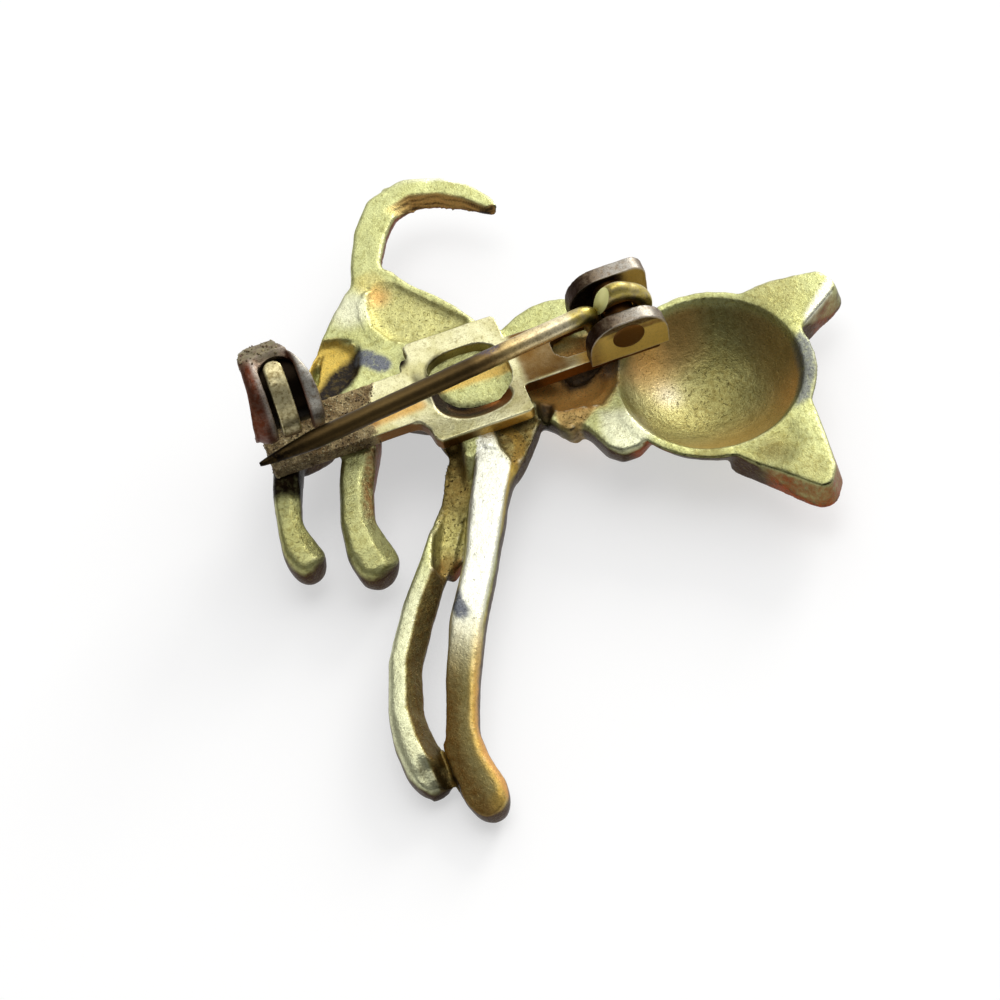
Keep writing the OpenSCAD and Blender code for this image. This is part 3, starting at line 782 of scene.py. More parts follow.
def sculpt_cat(mesh):
    """Works the cast surface and marks where its plating is worn, stained or pitted, and where light and
    shade are painted on it.
    """
    points = points_of(mesh)
    facing = normals_of(mesh)
    z = points[:, 2]
    up = ramp(facing[:, 2], 0.2, 0.7)
    web = patch(points, web_hollow, 0.5)
    chest = patch(points, chest_hollow, 0.5)
    neck = patch(points, neck_sunk, 1.0)
    bead = patch(points, neck_bead, 0.4)
    rump = patch(points, rump_hollow, 0.4)
    side_cup = patch(points, side_hollow, 0.4) * ramp(z, *pocket_rim)
    tail_share, tail_side, tail_away = beside(points, tail)
    on_tail = (tail_away < 1.8) * ramp(tail_share, 0.15, 0.25)
    tail_slope = on_tail * ramp(tail_side, 0.2, 0.4) * ramp(tail_share, 0.5, 0.7)
    scratches = lumps(np.stack([tail_share * 60, tail_away * 0.6, z * 0.5], 1), 1.0, 12)
    streaks = lumps(np.stack([tail_share * 5, tail_side * 8, z * 4], 1), 1.0, 14)
    rough = np.clip(0.9 * web + chest + 0.25 * neck + bead + 0.4 * rump, 0, 1)
    push = 0.045 * lumps(points, 2.6, 1) + 0.02 * lumps(points, 0.7, 2)
    push += rough * up * 0.045 * lumps(points, 0.45, 3, 3) + bead * 0.1 * lumps(points, 0.9, 13)
    push += on_tail * ramp(tail_side, 0.4, 0.8) * 0.02 * scratches + 0.025 * tail_slope * streaks
    push += 0.25 * near(points, 0.05, 16.1, 0.2, 0.5) * (1 - up)
    points = push_out(mesh, push)
    x, y, z = points.T
    z[:] = np.maximum(z, 0.0)
    z[:] = np.where(np.abs(x + 0.5) < 12, np.minimum(z, back_h + 0.03), z)
    move_points(mesh, points)
    facing = normals_of(mesh)
    tight = bulge(mesh, 5)
    wide = bulge(mesh, 70)
    wall = 1 - ramp(facing[:, 2], 0.05, 0.45)
    dish = 1 - ramp(from_dish(points), dish_r - 0.45, dish_r - 0.1)
    # Painted light in the dish: its bright left side, its highlight spot and a lit gold patch at its upper
    # left
    dish_highlight = near(points, 9.9, -2.8, 1.4, 3.4) * dish
    dish_low = ramp(-y + 0.3 * x, 9.5, 12.5) * dish
    dish_light = near(points, 10.2, -0.7, 0.9, 2.2) * dish
    left_share, left_side, left_away = beside(points, left_leg)
    right_share, right_side, right_away = beside(points, right_leg)
    left_closer = left_away < right_away
    left_slope = left_closer * (left_away < 1.8) * ramp(-left_side, 0.0, 0.2) * ramp(left_share, 0.27, 0.34)
    right_low = ~left_closer * (right_away < 1.8) * ramp(right_share, 0.44, 0.74)
    right_top = ~left_closer * (right_away < 1.4) * (1 - ramp(right_share, 0.4, 0.7)) * up
    right_top = right_top * (1 - chest) * (1 - web)
    right_bevel = ~left_closer * (right_away < 1.6) * (1 - ramp(right_share, 0.45, 0.55))
    right_bevel = right_bevel * ramp(-right_side, 0.9, 1.05)
    outer_share, _, outer_away = beside(points, outer_hind)
    inner_share, inner_side, inner_away = beside(points, inner_hind)
    # Painted shadow and reflection of the stem: a gold band on the back under it
    stem_shadow_band = along(points, (-1.6, 0.4), (2.6, 0.3), 0.35, 0.3)
    mark(mesh, "rough", rough + 0.2 * dish)

    # Painted shade: olive where the surface is hollow, in the rump and web, in the ear's valley and by the
    # ears
    hollow = ramp(-wide, 0.05, 0.35) * (facing[:, 2] > 0) * (1 - dish) * (1 - rump) + 0.15 * rump + 0.4 * web
    hollow += 0.6 * patch(points, ear_valley, 2.5) + 0.4 * near(points, 5.9, -8.0, 0.5, 1.0)
    hollow += spots(points, (0.5, 15.5, -12.8, 1.2, 2.5), (0.6, 10.8, -10.2, 0.8, 1.6))
    mark(mesh, "hollow", hollow)

    # Painted highlight: near-white on the right leg's lit top, the ruff, the ear's edge, the dish's bright
    # side and spot, the left leg's rib and the tail's outer edge
    pale = right_top + patches(points, (0.45, ruff, 0.8), (0.8, ear_edge, 0.3)) + 0.35 * dish_highlight
    pale += 0.5 * near(points, -4.6, 8.0, 1.2, 1.5) * (1 - rump)
    pale += 0.9 * near(points, 10.5, -3.5, 0.5, 1.8) * dish
    pale += 0.35 * left_closer * (left_side > -0.1) * (left_away < 1.4) * ramp(left_share, 0.3, 0.5)
    pale += on_tail * ramp(-tail_side, 0.55, 0.8) * ramp(tail_share, 0.6, 0.85)
    mark(mesh, "pale", pale, 1 - wall)

    # Gold, partly painted light: on the dish's lit left side and highlight, in the stem's painted shadow and
    # reflection, and on the right leg's lit bevel and right side
    gold = 0.95 * side_cup + 0.5 * neck + 0.9 * dish_light + 0.6 * dish_highlight + 0.5 * dish_low
    gold += 0.8 * stem_shadow_band + 0.25 * web + 0.15 * rump + right_bevel
    gold += 0.8 * patch(points, foot_gold, 0.6) + 0.3 * near(points, -3.0, 9.4, 0.8, 0.8)
    gold += right_low * ramp(-right_side, 0.2, 0.7) * up + 0.5 * tail_slope * ramp(streaks, 0.0, 0.4)
    mark(mesh, "gold", gold, 1 - wall * 0.5)

    amber = 0.9 * neck + 0.6 * bead + 0.25 * right_low + 0.25 * stem_shadow_band + 0.4 * dish_low + 0.8 * tail_slope
    amber += dish * (0.7 * patch(points, dish_brown, 2.0) + 0.5 * ramp(x, 15, 17))
    # Painted light: orange on the right leg's lit right side
    amber += 0.8 * right_low * ramp(-right_side, 0.55, 0.95) + 0.7 * rump * near(points, -2.8, 8.4, 0.6, 1.2)
    mark(mesh, "amber", amber)

    # Olive patina in the dish, weaker on its painted highlight and lit side; painted shade by the ears;
    # darker hind legs
    patina = 0.7 * dish * (1 - 1.4 * dish_highlight - 0.6 * dish_low) * (1 - 0.9 * dish_light)
    shade_by_ears = spots(points, (0.7, 14.2, -10.9, 0.8, 1.8), (0.35, 15.7, -13.0, 0.7, 1.4))
    shade_by_ears += spots(points, (0.5, 10.6, -10.2, 1.0, 1.6), (0.45, 18.2, -0.8, 1.6, 2.2))
    patina += (1 - dish) * up * shade_by_ears + 0.35 * (outer_away < 1.6) * ramp(outer_share, 0.2, 0.6)
    patina += 0.3 * (inner_away < 1.6) * ramp(inner_share, 0.1, 0.6)
    mark(mesh, "patina", patina)

    # Partly painted shade: brown on the left leg's shaded slope, the web's upper part and the right leg's
    # shaded left side
    brown = 0.25 * bead + 0.85 * left_slope + 0.75 * chest + 0.7 * web * (1 - ramp(-y, 5.5, 8.5))
    brown += right_low * (0.75 * ramp(right_side, -0.5, 0.6) + 0.2)
    brown += 0.8 * tail_slope * (1 - ramp(streaks, -0.2, 0.2))
    brown += 0.35 * patch(points, dish_brown, 2.2) * dish * (1 - dish_highlight) * (1 - dish_light)
    mark(mesh, "brown", brown, 1 - 0.8 * side_cup)

    plain = (1 - 0.9 * side_cup) * (1 - 0.8 * rump) * (1 - 0.8 * neck) * (1 - 0.5 * bead) * (1 - 0.85 * dish)
    # Painted shade: dark brown on steep side walls, less in the pockets, neck and dish
    mark(mesh, "wall", wall * plain)
    # Painted highlight on raised edges turned towards the light; the same edges turned to the near side get
    # painted shade further down
    edge = ramp(tight, 0.01, 0.05) * ramp(facing[:, 2], 0.15, 0.5)
    to_light = ramp(facing[:, 0] * 0.8 + facing[:, 1] * 0.6, -0.15, 0.25)
    mark(mesh, "crest", edge * to_light * (1 - 0.7 * rump))

    copper = spots(points, (1, 15.6, -14.2, 3.0, 1.0), (0.5, 20.8, -3.2, 1.2, 0.8), (1, 8.0, -8.2, 1.0, 0.8))
    copper = wall * (copper + 0.6 * on_tail * ramp(tail_side, 0.2, 0.8))
    copper += 0.6 * (inner_away < 1.6) * ramp(-inner_side, 0.3, 0.6) * (1 - ramp(inner_share, 0.5, 0.8))
    copper += 0.6 * left_slope * ramp(-left_side, 0.8, 1.05) * (1 - ramp(left_share, 0.7, 0.85))
    mark(mesh, "copper", copper)

    solder = along(points, (-4.9, 4.3), (-4.1, 3.4), 0.55, 0.3) + 0.8 * patch(points, grey_rim, 0.4)
    solder += along(points, (-5.3, -12.2), (-5.2, -13.9), 0.42, 0.3) + 0.5 * near(points, 7.9, -1.9, 0.6, 0.7)
    mark(mesh, "solder", solder, up)

    # Painted shade: near-black round the D hole's lower left, over the side pocket's shadow, in the gaps by
    # the neck and under the bar, on the dish's dark side, below the head and ears, on the hind leg's top and
    # in the foot's scoop, and on rims facing the near side; the tail's dark streaks are grime
    in_hole = inside(points, rounded(d_hole))
    soot = 0.85 * (in_hole > -0.4) * (1 - ramp(in_hole, 0.2, 0.6)) * ramp(-x - y, 0.2, 1.6)
    soot += 1.1 * patch(points, side_shadow, 0.5) * ramp(z, *pocket_rim)
    soot += patches(points, (0.9, neck_gap, 0.5), (0.9, bar_shadow, 0.5), (0.35, dish_dark, 2.5))
    soot += patches(points, (1, hind_shadow, 0.8), (0.6, foot_scoop, 0.8))
    soot += 0.75 * edge * ramp(-facing[:, 1], 0.25, 0.6) + 0.7 * tail_slope * ramp(-streaks, 0.15, 0.4)
    under_head = ramp(-facing[:, 1], 0.2, 0.6) * ramp(tight, 0.0, 0.04) * ramp(x, 2.5, 4.0)
    soot += 0.5 * under_head * ramp(z, 2.6, 3.6) + 0.3 * patch(points, ear_low, 1.6) * up * (1 - dish)
    soot += 0.45 * patch(points, grey_rim, 0.5) * ramp(-tight, -0.02, 0.02)
    mark(mesh, "soot", soot, 0.9)
    return mesh


# The stamped bar
def bar_outline():
    """The bar's outline: the catch's end, the pad, and the two prongs beside the loop."""
    prong = 10.98
    slot_middle = 6.1
    arm = 1.8
    pad = 3.65
    near_side = [(-12.05, -arm), (-3.9, -arm), (-3.42, -1.95), (-3.1, -2.5), (-2.98, -3.3), (-2.7, -pad)]
    near_side += [(2.55, -pad), (2.8, -3.5), (2.8, -1.9), (3.0, -arm), (prong, -arm), (prong, -1.0)]
    slot = arc((slot_middle, 0.0), 1.0, 270, 90, 13)
    far_side = [(prong, 1.0), (prong, arm), (3.0, arm), (2.8, 1.95), (2.8, 3.45), (2.55, pad)]
    far_side += [(-2.45, pad), (-2.78, 3.5)]
    notch = arc((-2.8, 2.15), 0.55, 80, 200, 8)
    return near_side + slot + far_side + notch + [(-3.5, arm), (-12.05, arm)]


d_hole = [
    (-1.95, 1.55), (-1.2, 2.05), (-0.3, 2.18), (0.6, 2.18), (1.5, 2.05), (2.2, 1.45), (2.5, 0.7), (2.5, -0.6),
    (2.15, -1.4), (1.5, -1.75), (0.4, -1.8), (-0.6, -1.65), (-1.3, -1.2), (-1.75, -0.4), (-2.0, 0.6)
]
sunk_rim = [
    (-2.15, 1.1), (-2.4, -0.6), (-2.3, -1.9), (-0.85, -3.0), (1.6, -2.8), (2.3, -1.9), (1.6, -1.0), (0.0, 0.5)
]
far_crud = [(-8.6, 3.2), (-7.7, 2.9), (-5.0, 1.9), (-5.6, 0.6), (-7.0, 0.0), (-9.0, -0.6)]
near_crud = [(-9.0, -0.9), (-6.2, -0.9), (-5.9, -1.5), (-6.6, -2.2), (-9.0, -2.2)]


def stamped_bar():
    """The plate of the bar, with its edges rolled over by the press and a sunk rim by the D hole."""
    hole = rounded(d_hole)
    mesh = cast_skin(flat_shape(bar_outline(), [hole], back_h - 0.18, plate_top), 0.1, 2)
    points = points_of(mesh)
    facing = normals_of(mesh)
    to_hole = np.abs(inside(points, hole))
    sunk = np.clip(inside(points, rounded(sunk_rim)) / 0.8, 0, 1)
    crust = patches(points, (1, far_crud, 0.6), (1, near_crud, 0.8)) + ramp(-points[:, 0], 7.4, 9.0)
    crust = np.clip(crust, 0, 1)
    up = ramp(facing[:, 2], 0.3, 0.8)
    push = 0.03 * lumps(points, 2.4, 4) + crust * 0.1 * lumps(points, 0.5, 5, 3) * up
    points = push_out(mesh, push)
    x, y, z = points.T
    z -= 0.6 * sunk * ramp(z, back_h, plate_top)
    z[:] = np.minimum(z, plate_top + 0.08)
    move_points(mesh, points)
    facing = normals_of(mesh)
    side = 1 - ramp(facing[:, 2], 0.05, 0.4)
    pad_side = side * ramp(-y, 3.2, 3.5) * ramp(x, -1.2, 0.0)
    hole_wall = (to_hole < 0.35) * side
    hole_left = (1 - ramp(to_hole, 0.1, 0.5)) * ramp(-x, 0.2, 1.4)
    right_arm = ramp(x, 2.7, 3.3) * (1 - ramp(x, 5.2, 7.0)) * ramp(y, -1.8, -1.6)
    # Painted shadow of the stem, brown on the bar under it, and its painted reflection, orange-gold beside it
    stem_shadow_band = along(points, (-9.0, -1.1), (-6.0, -0.9), 0.45, 0.6)
    stem_reflection = along(points, (-6.0, -0.85), (-3.1, -0.75), 0.35, 0.5) * (1 - crust)
    sunk_mark = ramp(sunk, 0.04, 0.2)
    # Painted highlight along the bar's raised edges
    bright = ramp(bulge(mesh, 4), 0.008, 0.03) * ramp(facing[:, 2], 0.1, 0.5)
    # Painted shade: near-black in the notch, round the D hole and on its sunk lower left; by the crust
    # towards the catch's end it is grime
    soot = near(points, -3.25, 2.6, 0.5, 0.5) + 0.7 * sunk_mark * ramp(-x, 1.4, 2.2)
    soot += 0.75 * (1 - ramp(to_hole, 0.08, 0.3)) * ramp(-x, 0.2, 1.4)
    soot += 0.75 * (1 - ramp(to_hole, 0.75, 1.1)) * ramp(-x - y, 0.6, 2.0)
    soot += 0.15 * patch(points, near_crud, 0.8) + 0.35 * ramp(-x, 9.0, 10.0) * ramp(-y, 0.2, 1.0)
    mark(mesh, "crust", crust)
    # Painted shade: brown on the bar's side walls, not on the crust, the pad's near side or the D hole's wall
    mark(mesh, "wall", side * (1 - crust) * (1 - pad_side) * (1 - hole_wall))
    # Gold, partly painted reflection: on the D hole's wall and beside the stem
    mark(mesh, "gold", pad_side + ramp(x, 5.6, 6.8) * (1 - side) + 0.4 * hole_wall + 0.7 * stem_reflection)
    mark(mesh, "brown", right_arm + sunk_mark + stem_shadow_band * 0.8)
    mark(mesh, "copper", sunk_mark * ramp(x, -0.4, 0.8) * 0.8 + 0.4 * stem_reflection)
    mark(mesh, "crest", bright * (1 - crust) * (1 - sunk_mark) * (1 - hole_left))
    mark(mesh, "soot", soot)
    return mesh


def hinge_ear(side, toe):
    """One ear of the hinge: a tab with a flat top, a well rounded heel and a toe of a given radius."""
    left = hinge_x - 2.35
    right = hinge_x + 2.35
    heel = 1.9
    foot = plate_top - 0.12
    outline = [(left, foot)] + arc((left + heel, ear_top - heel), heel, 180, 90, 14)
    outline += arc((right - toe, ear_top - toe), toe, 90, 0, 12) + [(right, foot)]
    inner = side * 1.25
    outer = side * 2.2
    mesh = flat_shape(outline, [], min(inner, outer), max(inner, outer))
    move_points(mesh, points_of(mesh)[:, [0, 2, 1]])
    return facing_out(mesh)


def hinge_ears():
    """Both ears, with a fine raised rim, painted silvery highlights on their tops, and painted light and
    shade on their faces.
    """
    mesh = cast_skin(joined(hinge_ear(1, 0.9), hinge_ear(-1, 1.8)), 0.075, 5)
    points = points_of(mesh)
    facing = normals_of(mesh)
    x, y, z = points.T
    face_on = ramp(np.abs(facing[:, 1]), 0.8, 0.97)
    by_rivet = near(points[:, [0, 2]], hinge_x, hinge.z, 1.3, 0.6)
    push = 0.02 * lumps(points, 0.7, 6, 3) * (1 - by_rivet) - 0.05 * neighbour_mean(mesh, face_on, 3) ** 3
    push_out(mesh, push)
    facing = normals_of(mesh)
    toward = -facing[:, 1]
    near_one = y < 0
    outer_face = near_one * ramp(toward, 0.6, 0.9)
    far_face = ~near_one * ramp(toward, 0.5, 0.9)
    from_top = ear_top - z
    lens = near(points[:, [0, 2]], 9.3, 6.75, 0.5, 0.5) * outer_face
    # Partly painted shade: brown along the near ear's top band and on the heels; the lens is the rivet head's
    # own brown
    band_line = outer_face * (1 - ramp(np.abs(from_top - 0.85), 0.1, 0.25)) * ramp(x, 7.6, 8.4)
    heel = ramp(-facing[:, 0], 0.3, 0.8) * ramp(facing[:, 2], -0.5, 0.2)
    brown = heel * 0.7 + 0.7 * band_line + 0.8 * lens + 0.5 * outer_face * ramp(-x, -7.8, -7.0)
    # Painted shade: dark on the near ear's inner face, the left of the far ear's front, the heels and the
    # tops' left ends
    dark = ramp(-toward, 0.5, 0.9) * near_one + far_face * (1 - ramp(x, 9.4, 10.2))
    dark += 0.55 * heel + 0.35 * (1 - ramp(x, 7.0, 9.0)) * ramp(facing[:, 2], 0.2, 0.8)
    # Painted highlight on raised edges that face the near side
    mark(mesh, "crest", ramp(bulge(mesh, 6), 0.006, 0.03) * ramp(toward, 0.2, 0.5) * 0.9)
    # Painted highlight: silvery on the ears' up-facing tops
    mark(mesh, "silver", ramp(facing[:, 2], 0.5, 0.9) * ramp(x, 8.0, 10.0) * 0.7)
    # Painted light: pale gold, barely metallic, on the near ear's outer face below its top band; the far
    # ear's right end is gold too
    mark(mesh, "gold", outer_face * ramp(from_top, 0.5, 0.75) + far_face * ramp(x, 9.6, 10.4), 1 - 0.8 * lens)
    mark(mesh, "brown", brown)
    mark(mesh, "soot", dark, 0.92)
    mark(mesh, "crust", np.zeros(len(points)))
    return mesh


# The catch and its lock
catch_x0 = -12.05
catch_x1 = -8.35
catch_r = 2.75
bore_r = 2.15
lip_angle = -35.0
slot_end = 100.0


def curled(mesh, inner, start):
    """Rolls a flat strip round the catch's axis; it is drawn as length, place along the bar and thickness."""
    points = points_of(mesh)
    middle = (catch_r + bore_r) / 2
    turn = np.radians(start) + points[:, 0] / middle
    r = inner + points[:, 2]
    y = catch_axis.y - r * np.cos(turn)
    z = catch_axis.z + r * np.sin(turn)
    move_points(mesh, np.stack([points[:, 1], y, z], 1))
    return facing_out(mesh)


def length_at(angle, start):
    """Length along the strip from its start to an angle round the catch."""
    return math.radians(angle - start) * (catch_r + bore_r) / 2


def curled_catch():
    """The catch: two bands beside a long slot, which join over it in an arch and narrow to a neck."""
    arch = length_at(slot_end, lip_angle)
    middle_x = (catch_x0 + catch_x1) / 2
    wide = (catch_x1 - catch_x0) / 2
    half = 1.0
    corner = 0.35
    neck = 0.62 * wide - 0.1
    # Each edge from the lip to the far end: the angle round the catch, and how far out it lies
    left_side = [(10, wide + 0.4), (60, wide + 0.1), (112, wide), (124, wide - 0.15), (135, wide - 0.45)]
    left_side += [(148, neck), (270, neck)]
    right_side = [(0, wide), (42, wide - 0.05), (60, wide - 0.15), (76, wide - 0.4), (92, wide - 0.7)]
    right_side += [(108, wide - 1.05), (124, wide - 1.4), (270, wide - 1.5)]
    outline = [(0.0, corner - wide), (corner, -wide - 0.45)]
    outline += [(length_at(angle, lip_angle), -away) for angle, away in left_side]
    outline += [(length_at(angle, lip_angle), away) for angle, away in reversed(right_side)]
    outline += [(corner, wide - 0.2), (0.0, wide - corner), (0.0, half)]
    outline += arc((arch - half, 0.0), half, 90, -90, 13) + [(0.0, -half)]
    outline = [(length, place + middle_x) for length, place in outline]
    strip = cast_skin(flat_shape(outline, [], 0.0, catch_r - bore_r), 0.085, 4)
    mesh = curled(strip, bore_r, lip_angle)
    points = points_of(mesh)
    x, y, z = points.T
    bridge = ramp(y, 1.4, 2.4) * ramp(z, 9.3, 10.0) * (1 - ramp(x, -9.9, -9.5))
    low = ramp(-z, -7.2, -6.0)
    away = np.hypot(y - catch_axis.y, z - catch_axis.z)
    on_outside = ramp(away, bore_r + 0.25, catch_r)
    ridge_out = 1.42
    off_ridge = np.abs(np.abs(x - middle_x) - ridge_out) / 0.5
    rounding = 0.16 * np.clip(off_ridge, 0, 1.3) ** 2 * on_outside * (y < catch_axis.y + 0.6)
    push = 0.02 * lumps(points, 1.0, 7, 3) + 0.06 * np.clip(bridge + low, 0, 1) * lumps(points, 0.4, 8, 3)
    points = push_out(mesh, push)
    x, y, z = points.T
    y -= (y - catch_axis.y) * rounding / away
    z -= (z - catch_axis.z) * rounding / away
    z[:] = np.minimum(z, top)
    move_points(mesh, points)
    facing = normals_of(mesh)
    outward = ((y - catch_axis.y) * facing[:, 1] + (z - catch_axis.z) * facing[:, 2]) / catch_r
    outer = ramp(outward, 0.3, 0.8)
    ridge = 1 - ramp(off_ridge, 0.35, 0.9)
    left_edge = ramp(-x, 11.2, 11.65) * (y < catch_axis.y + 1.5)
    end_face = ramp(-facing[:, 0], 0.3, 0.7)
    # Painted highlight: silvery along the bands' ridges and upper parts
    mark(mesh, "silver", outer * ramp(z, 6.2, 8.6) * (0.25 + 0.75 * ridge))
    # Painted highlight on the catch's raised outer edges
    mark(mesh, "crest", ramp(bulge(mesh, 5), 0.004, 0.03) * outer * 0.5)
    # Partly painted shade: brown off the bands' ridges and on their lower parts; the end face and left edge
    # are red-brown metal
    mark(mesh, "brown", end_face + left_edge + outer * (0.8 * ramp(-z, -7.8, -6.6) + 0.35 * (1 - ridge)))
    mark(mesh, "gold", outer * ramp(-z, -8.2, -6.8) * (1 - left_edge) * 0.35)
    # Painted shade: dark on the faces turned in towards the bore and on the low part under the curl
    mark(mesh, "soot", ramp(-outward, 0.3, 0.8) * 0.9 + ramp(-z, -6.3, -5.6) * 0.6)
    mark(mesh, "crust", bridge + 0.4 * low)
    return mesh


def turning_lock():
    """The lock's sleeve, with a rib that stands in the catch's slot and ends in a rounded thumb piece."""
    start = lip_angle + 2
    play = 0.05
    sleeve_t = 0.45
    inner = bore_r - play - sleeve_t
    end = length_at(268, start)
    x0 = catch_x0 + 0.15
    x1 = catch_x1 - 0.15
    outline = [(0, x0), (end, x0), (end, x1 - 1.5)]
    for angle, less in ((118, 1.3), (88, 0.6), (62, 0.2), (40, 0)):
        outline.append((length_at(angle, start), x1 - less))
    sleeve = cast_skin(flat_shape(outline + [(0, x1)], [], 0.0, sleeve_t), 0.09, 2)
    rib_x = (x0 + x1) / 2 - 0.18
    half = 0.56
    tip = length_at(slot_end - 9, start)
    outline = [(0.0, rib_x - half), (0.0, rib_x + half)] + arc((tip - half, rib_x), half, 90, -90, 11)
    rib = cast_skin(flat_shape(outline, [], sleeve_t / 2, catch_r - play - inner), 0.09, 5)
    mesh = joined(curled(sleeve, inner, start), curled(rib, inner, start))
    points = points_of(mesh)
    push_out(mesh, 0.015 * lumps(points, 0.6, 9, 3))
    away = np.hypot(points[:, 1] - catch_axis.y, points[:, 2] - catch_axis.z)
    mark(mesh, "brown", ramp(-points[:, 2], -7.6, -6.4) * 0.9)
    # Painted shade on the sleeve and the rib's foot, inside the catch's bore
    mark(mesh, "soot", 1 - ramp(away, bore_r - 0.02, bore_r + 0.12))
    return mesh


def crumbs(hosts, finish):
    """Corrosion crumbs scattered by Geometry Nodes where the findings are crusted."""
    tree = bpy.data.node_groups.new("scattered_crumbs", "GeometryNodeTree")
    tree.interface.new_socket("Surface", in_out="INPUT", socket_type="NodeSocketGeometry")
    tree.interface.new_socket("Crumbs", in_out="OUTPUT", socket_type="NodeSocketGeometry")
    settings = {"node_group": tree}
    chosen = {"Crumbs per square mm": 14.0, "Smallest": 0.02, "Largest": 0.085, "Seed": 7}
    for label, value in chosen.items():
        kind = "NodeSocketInt" if label == "Seed" else "NodeSocketFloat"
        socket = tree.interface.new_socket(label, in_out="INPUT", socket_type=kind)
        settings[socket.identifier] = value

    def add(kind, feeds, **setup):
        """Adds a node and gives its outputs."""
        return add_node(tree, kind, setup, feeds).outputs

    given = add("NodeGroupInput", {})
    seed = given["Seed"]
    crust = add("GeometryNodeInputNamedAttribute", {"Name": "crust"}, data_type="FLOAT")
    density = add("ShaderNodeMath", {0: crust[0], 1: given["Crumbs per square mm"]}, operation="MULTIPLY")
    feeds = {"Mesh": given["Surface"], "Density": density[0], "Seed": seed}
    scatter = add("GeometryNodeDistributePointsOnFaces", feeds, distribute_method="RANDOM")
    crumb = add("GeometryNodeMeshIcoSphere", {"Radius": 1.0, "Subdivisions": 2})
    feeds = {2: given["Smallest"], 3: given["Largest"], "Seed": seed}
    size = add("FunctionNodeRandomValue", feeds, data_type="FLOAT")
    turn = add("FunctionNodeRandomValue", {1: (6.28, 6.28, 6.28)}, data_type="FLOAT_VECTOR")
    stretch = add("ShaderNodeVectorMath", {0: size[1], 1: (1.3, 1.0, 0.7)}, operation="MULTIPLY")
    feeds = {"Points": scatter["Points"], "Instance": crumb["Mesh"], "Rotation": turn[0], "Scale": stretch[0]}
    place = add("GeometryNodeInstanceOnPoints", feeds)
    real = add("GeometryNodeRealizeInstances", {0: place["Instances"]})
    paint = add("GeometryNodeSetMaterial", {"Material": finish, "Geometry": real[0]})
    add("NodeGroupOutput", {0: paint[0]})

    mesh = modified(hosts, ("NODES", settings))
    mesh.polygons.foreach_set("material_index", np.zeros(len(mesh.polygons), np.int32))
    points = points_of(mesh)
    points[:, 2] = np.minimum(points[:, 2], top)
    move_points(mesh, points)
    return mesh


# The pin
def pin_wire():
    """The pin: a loop round the rivet with its cut end showing, a bend, the stem and the point."""
    wire_r = 0.55
    loop_r = 1.55
    loop_y = -0.2
    bend_r = 0.65
    stem_l = 16.0
    point_l = 3.8
    skew = math.radians(7)
    sides = 32
    loop = [np.array([x, loop_y, z]) for x, z in arc((hinge_x, hinge.z), loop_r, 123, -180, 120)]
    way = np.array([-math.cos(skew), -math.sin(skew), 0.0])
    lift = np.array([0.0, 0.0, 1.0])
    foot = np.array([hinge_x - loop_r, loop_y, hinge.z])
    bend = [foot + (bend_r - x) * way + z * lift for x, z in arc((0, 0), bend_r, 6, 90, 16)]
    stem = [bend[-1] + way * t for t in np.linspace(0.12, stem_l + point_l, 170)]
    path = np.array(loop + bend + stem)
    travelled = np.concatenate([[0], np.cumsum(np.linalg.norm(np.diff(path, axis=0), axis=1))])
    to_tip = travelled[-1] - travelled
    radii = wire_r * np.clip(0.2 + 0.8 * (to_tip / (0.85 * point_l)) ** 0.75, 0, 1)
    mesh = swept(path, radii, sides)
    points = points_of(mesh)
    # The cut end is slanted by moving the first rings along the wire
    inward = (loop[1] - loop[0]) / np.linalg.norm(loop[1] - loop[0])
    cut_face = np.array([-0.9, -0.12, 0.42])
    ahead = np.clip((points[:sides] - loop[0]) @ cut_face / -inward.dot(cut_face), -1.4, 1.4)
    slanted_rings = 24
    fade = np.clip(1 - np.arange(len(path)) / slanted_rings, 0, 1)
    shift = np.concatenate([np.outer(fade, ahead).ravel(), [0, 0]])
    points += shift[:, None] * inward
    move_points(mesh, points)
    facing = normals_of(mesh)
    push_out(mesh, 0.012 * lumps(points, 0.9, 10, 3))
    share = np.concatenate([np.repeat(travelled / travelled[-1], sides), [0.0, 1.0]])
    cut_end = np.zeros(len(points))
    cut_end[:sides] = 1.0
    cut_end[-2] = 1.0
    purple = near(points, 1.35, -0.3, 0.75, 0.4) * ramp(facing[:, 2], 0.0, 0.6) * ramp(points[:, 2], 6.6, 7.2)
    mark(mesh, "along", (share - 0.33) / 0.67)
    mark(mesh, "purple", purple)
    # Painted underside: orange reflection near the hinge, shade further along
    mark(mesh, "brown", ramp(-facing[:, 2], 0.1, 0.7) * 0.8)
    # Painted highlight on the loop's cut end
    mark(mesh, "pale", cut_end)
    return mesh


def hinge_rivet():
    """The rivet, with a peened head flush with each ear."""
    radius = 0.95
    reach = 2.2
    sides = 64
    rows = [(0.0, -reach), (0.55, 0.005 - reach), (0.86, 0.02 - reach), (radius - 0.01, 0.045 - reach)]
    rows += [(radius, 0.1 - reach)]
    rows += [(r, -y) for r, y in reversed(rows)]
    points = []
    for r, y in rows:
        points += [(x, y, z) for x, z in arc((hinge_x, hinge.z), r, 0, 360, sides + 1)[:-1]]
    mesh = facing_out(mesh_of(points, tube_faces(len(rows), sides)), doubles=True)
    off_middle = np.abs(points_of(mesh)[:, 1])
    mark(mesh, "brown", ramp(off_middle, 1.9, 2.1))
    # Painted shade on the rivet's shank between the ears
    mark(mesh, "soot", 0.9 * (1 - ramp(off_middle, 1.2, 1.3)))
    return mesh


plated_casting = cast_finish()
plated_bar = bar_finish()
dark_findings = ear_finish()
gold = lock_finish()

bar = stamped_bar()
catch = curled_catch()
crumbly = crumb_finish()
scattered = crumbs(joined(bar, catch), crumbly)
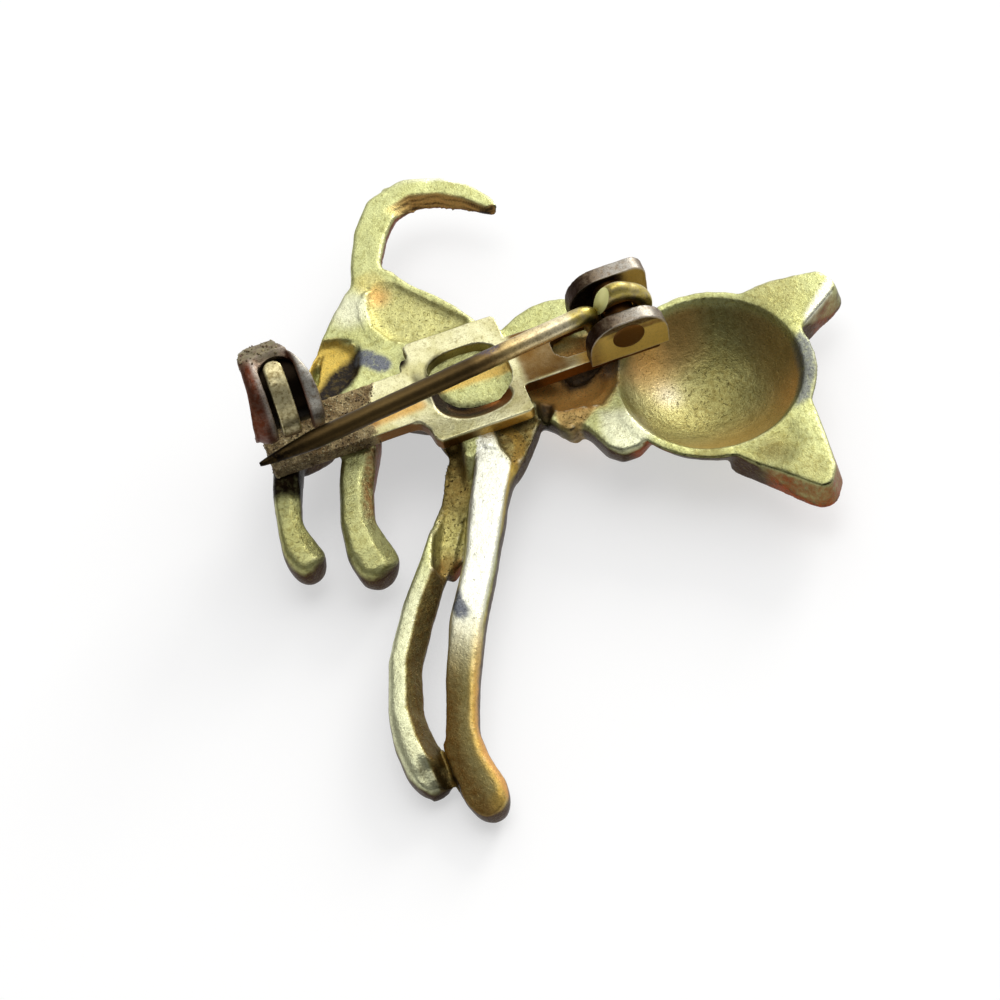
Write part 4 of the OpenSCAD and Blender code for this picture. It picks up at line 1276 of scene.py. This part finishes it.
# The casting's skin is finer than its shape needs, so it is thinned once its marks are on it
lighter = ("DECIMATE", {"ratio": 0.64, "use_collapse_triangulate": True})
cat = modified(sculpt_cat(carve_cat(cast_cat())), lighter)
piece("cast_cat", cat, plated_casting, "brooch", ["cat_figure"])
piece("stamped_bar", bar, plated_bar, "brooch", ["cat_figure"])
piece("hinge_ears", hinge_ears(), dark_findings, "brooch", ["cat_figure"])
piece("curled_catch", catch, dark_findings, "brooch", ["cat_figure"])
piece("corrosion_crumbs", scattered, crumbly, "brooch", ["cat_figure"])
piece("turning_lock", turning_lock(), gold, "lock", ["catch_lock"])
piece("hinge_rivet_ends", hinge_rivet(), gold, "brooch", ["joint_rivet"])
piece("pin_wire", pin_wire(), wire_finish(), "stem", ["pin_stem"])


# Floor, light and camera
def floor():
    """The plain pale surface that the brooch lies on."""
    half = 0.9
    corners = [(-half, -half, 0), (half, -half, 0), (half, half, 0), (-half, half, 0)]
    mesh = mesh_of(corners, [(0, 1, 2, 3)], "floor")
    finish = bpy.data.materials.new("pale_floor")
    finish.use_nodes = True
    shader = finish.node_tree.nodes["Principled BSDF"]
    looks = {"Base Color": (0.48, 0.48, 0.48, 1), "Roughness": 0.9, "Specular IOR Level": 0.1}
    looks.update({"Emission Color": (1, 1, 1, 1), "Emission Strength": 0.53})
    for label, value in looks.items():
        shader.inputs[label].default_value = value
    mesh.materials.append(finish)
    obj = placed("floor", mesh)


def softbox(name, toward, distance, width, height, power, tint=(1, 1, 1)):
    """A rectangular studio light that faces the brooch."""
    light = bpy.data.lights.new(name, "AREA")
    light.shape = "RECTANGLE"
    light.size = width
    light.size_y = height
    light.energy = power
    light.color = tint
    obj = placed(name, light)
    place = Vector(toward).normalized() * distance
    obj.location = place
    obj.rotation_euler = place.to_track_quat("Z", "Y").to_euler()


def studio():
    """Soft surroundings, bright on the far right above and dim to the left, so that the metal shows shape."""
    world = bpy.data.worlds.new("studio")
    world.use_nodes = True
    tree = world.node_tree
    back = tree.nodes["Background"]
    place = add_node(tree, "ShaderNodeTexCoord", {}, {})
    brightest = Vector((0.58, 0.58, 0.57)).normalized()
    feeds = {0: place.outputs["Generated"], 1: brightest}
    toward = add_node(tree, "ShaderNodeVectorMath", {"operation": "DOT_PRODUCT"}, feeds)
    feeds = {0: toward.outputs["Value"], "From Min": 0.35, "From Max": 1.0, "To Min": 0.26, "To Max": 1.6}
    spread = add_node(tree, "ShaderNodeMapRange", {"interpolation_type": "SMOOTHSTEP"}, feeds)
    tree.links.new(spread.outputs["Result"], back.inputs["Strength"])
    back.inputs["Color"].default_value = (1, 1, 1, 1)
    bpy.context.scene.world = world
    softbox("key_softbox", (0.66, 0.6, 0.45), 0.6, 0.2, 0.2, 1.4, (1.0, 0.98, 0.94))
    softbox("overhead_softbox", (0.0, 0.1, 1.0), 0.8, 0.5, 0.4, 1.2)


def camera():
    """The photograph's view: from the near side, well above the floor."""
    back = Vector((-0.1, -0.56479, 0.81915)).normalized()
    right = Vector((0.93904, -0.32571, -0.10994)).normalized()
    up = back.cross(right)
    lens = bpy.data.cameras.new("camera")
    lens.lens = 114.05
    lens.sensor_width = 36.0
    lens.clip_start = 0.005
    obj = placed("camera", lens)
    place = Vector((-22.806, -102.398, 147.447)) * MM
    obj.matrix_world = Matrix.Translation(place) @ Matrix((right, up, back)).transposed().to_4x4()
    bpy.context.scene.camera = obj


floor()
studio()
camera()
bpy.context.scene.view_settings.view_transform = "Standard"
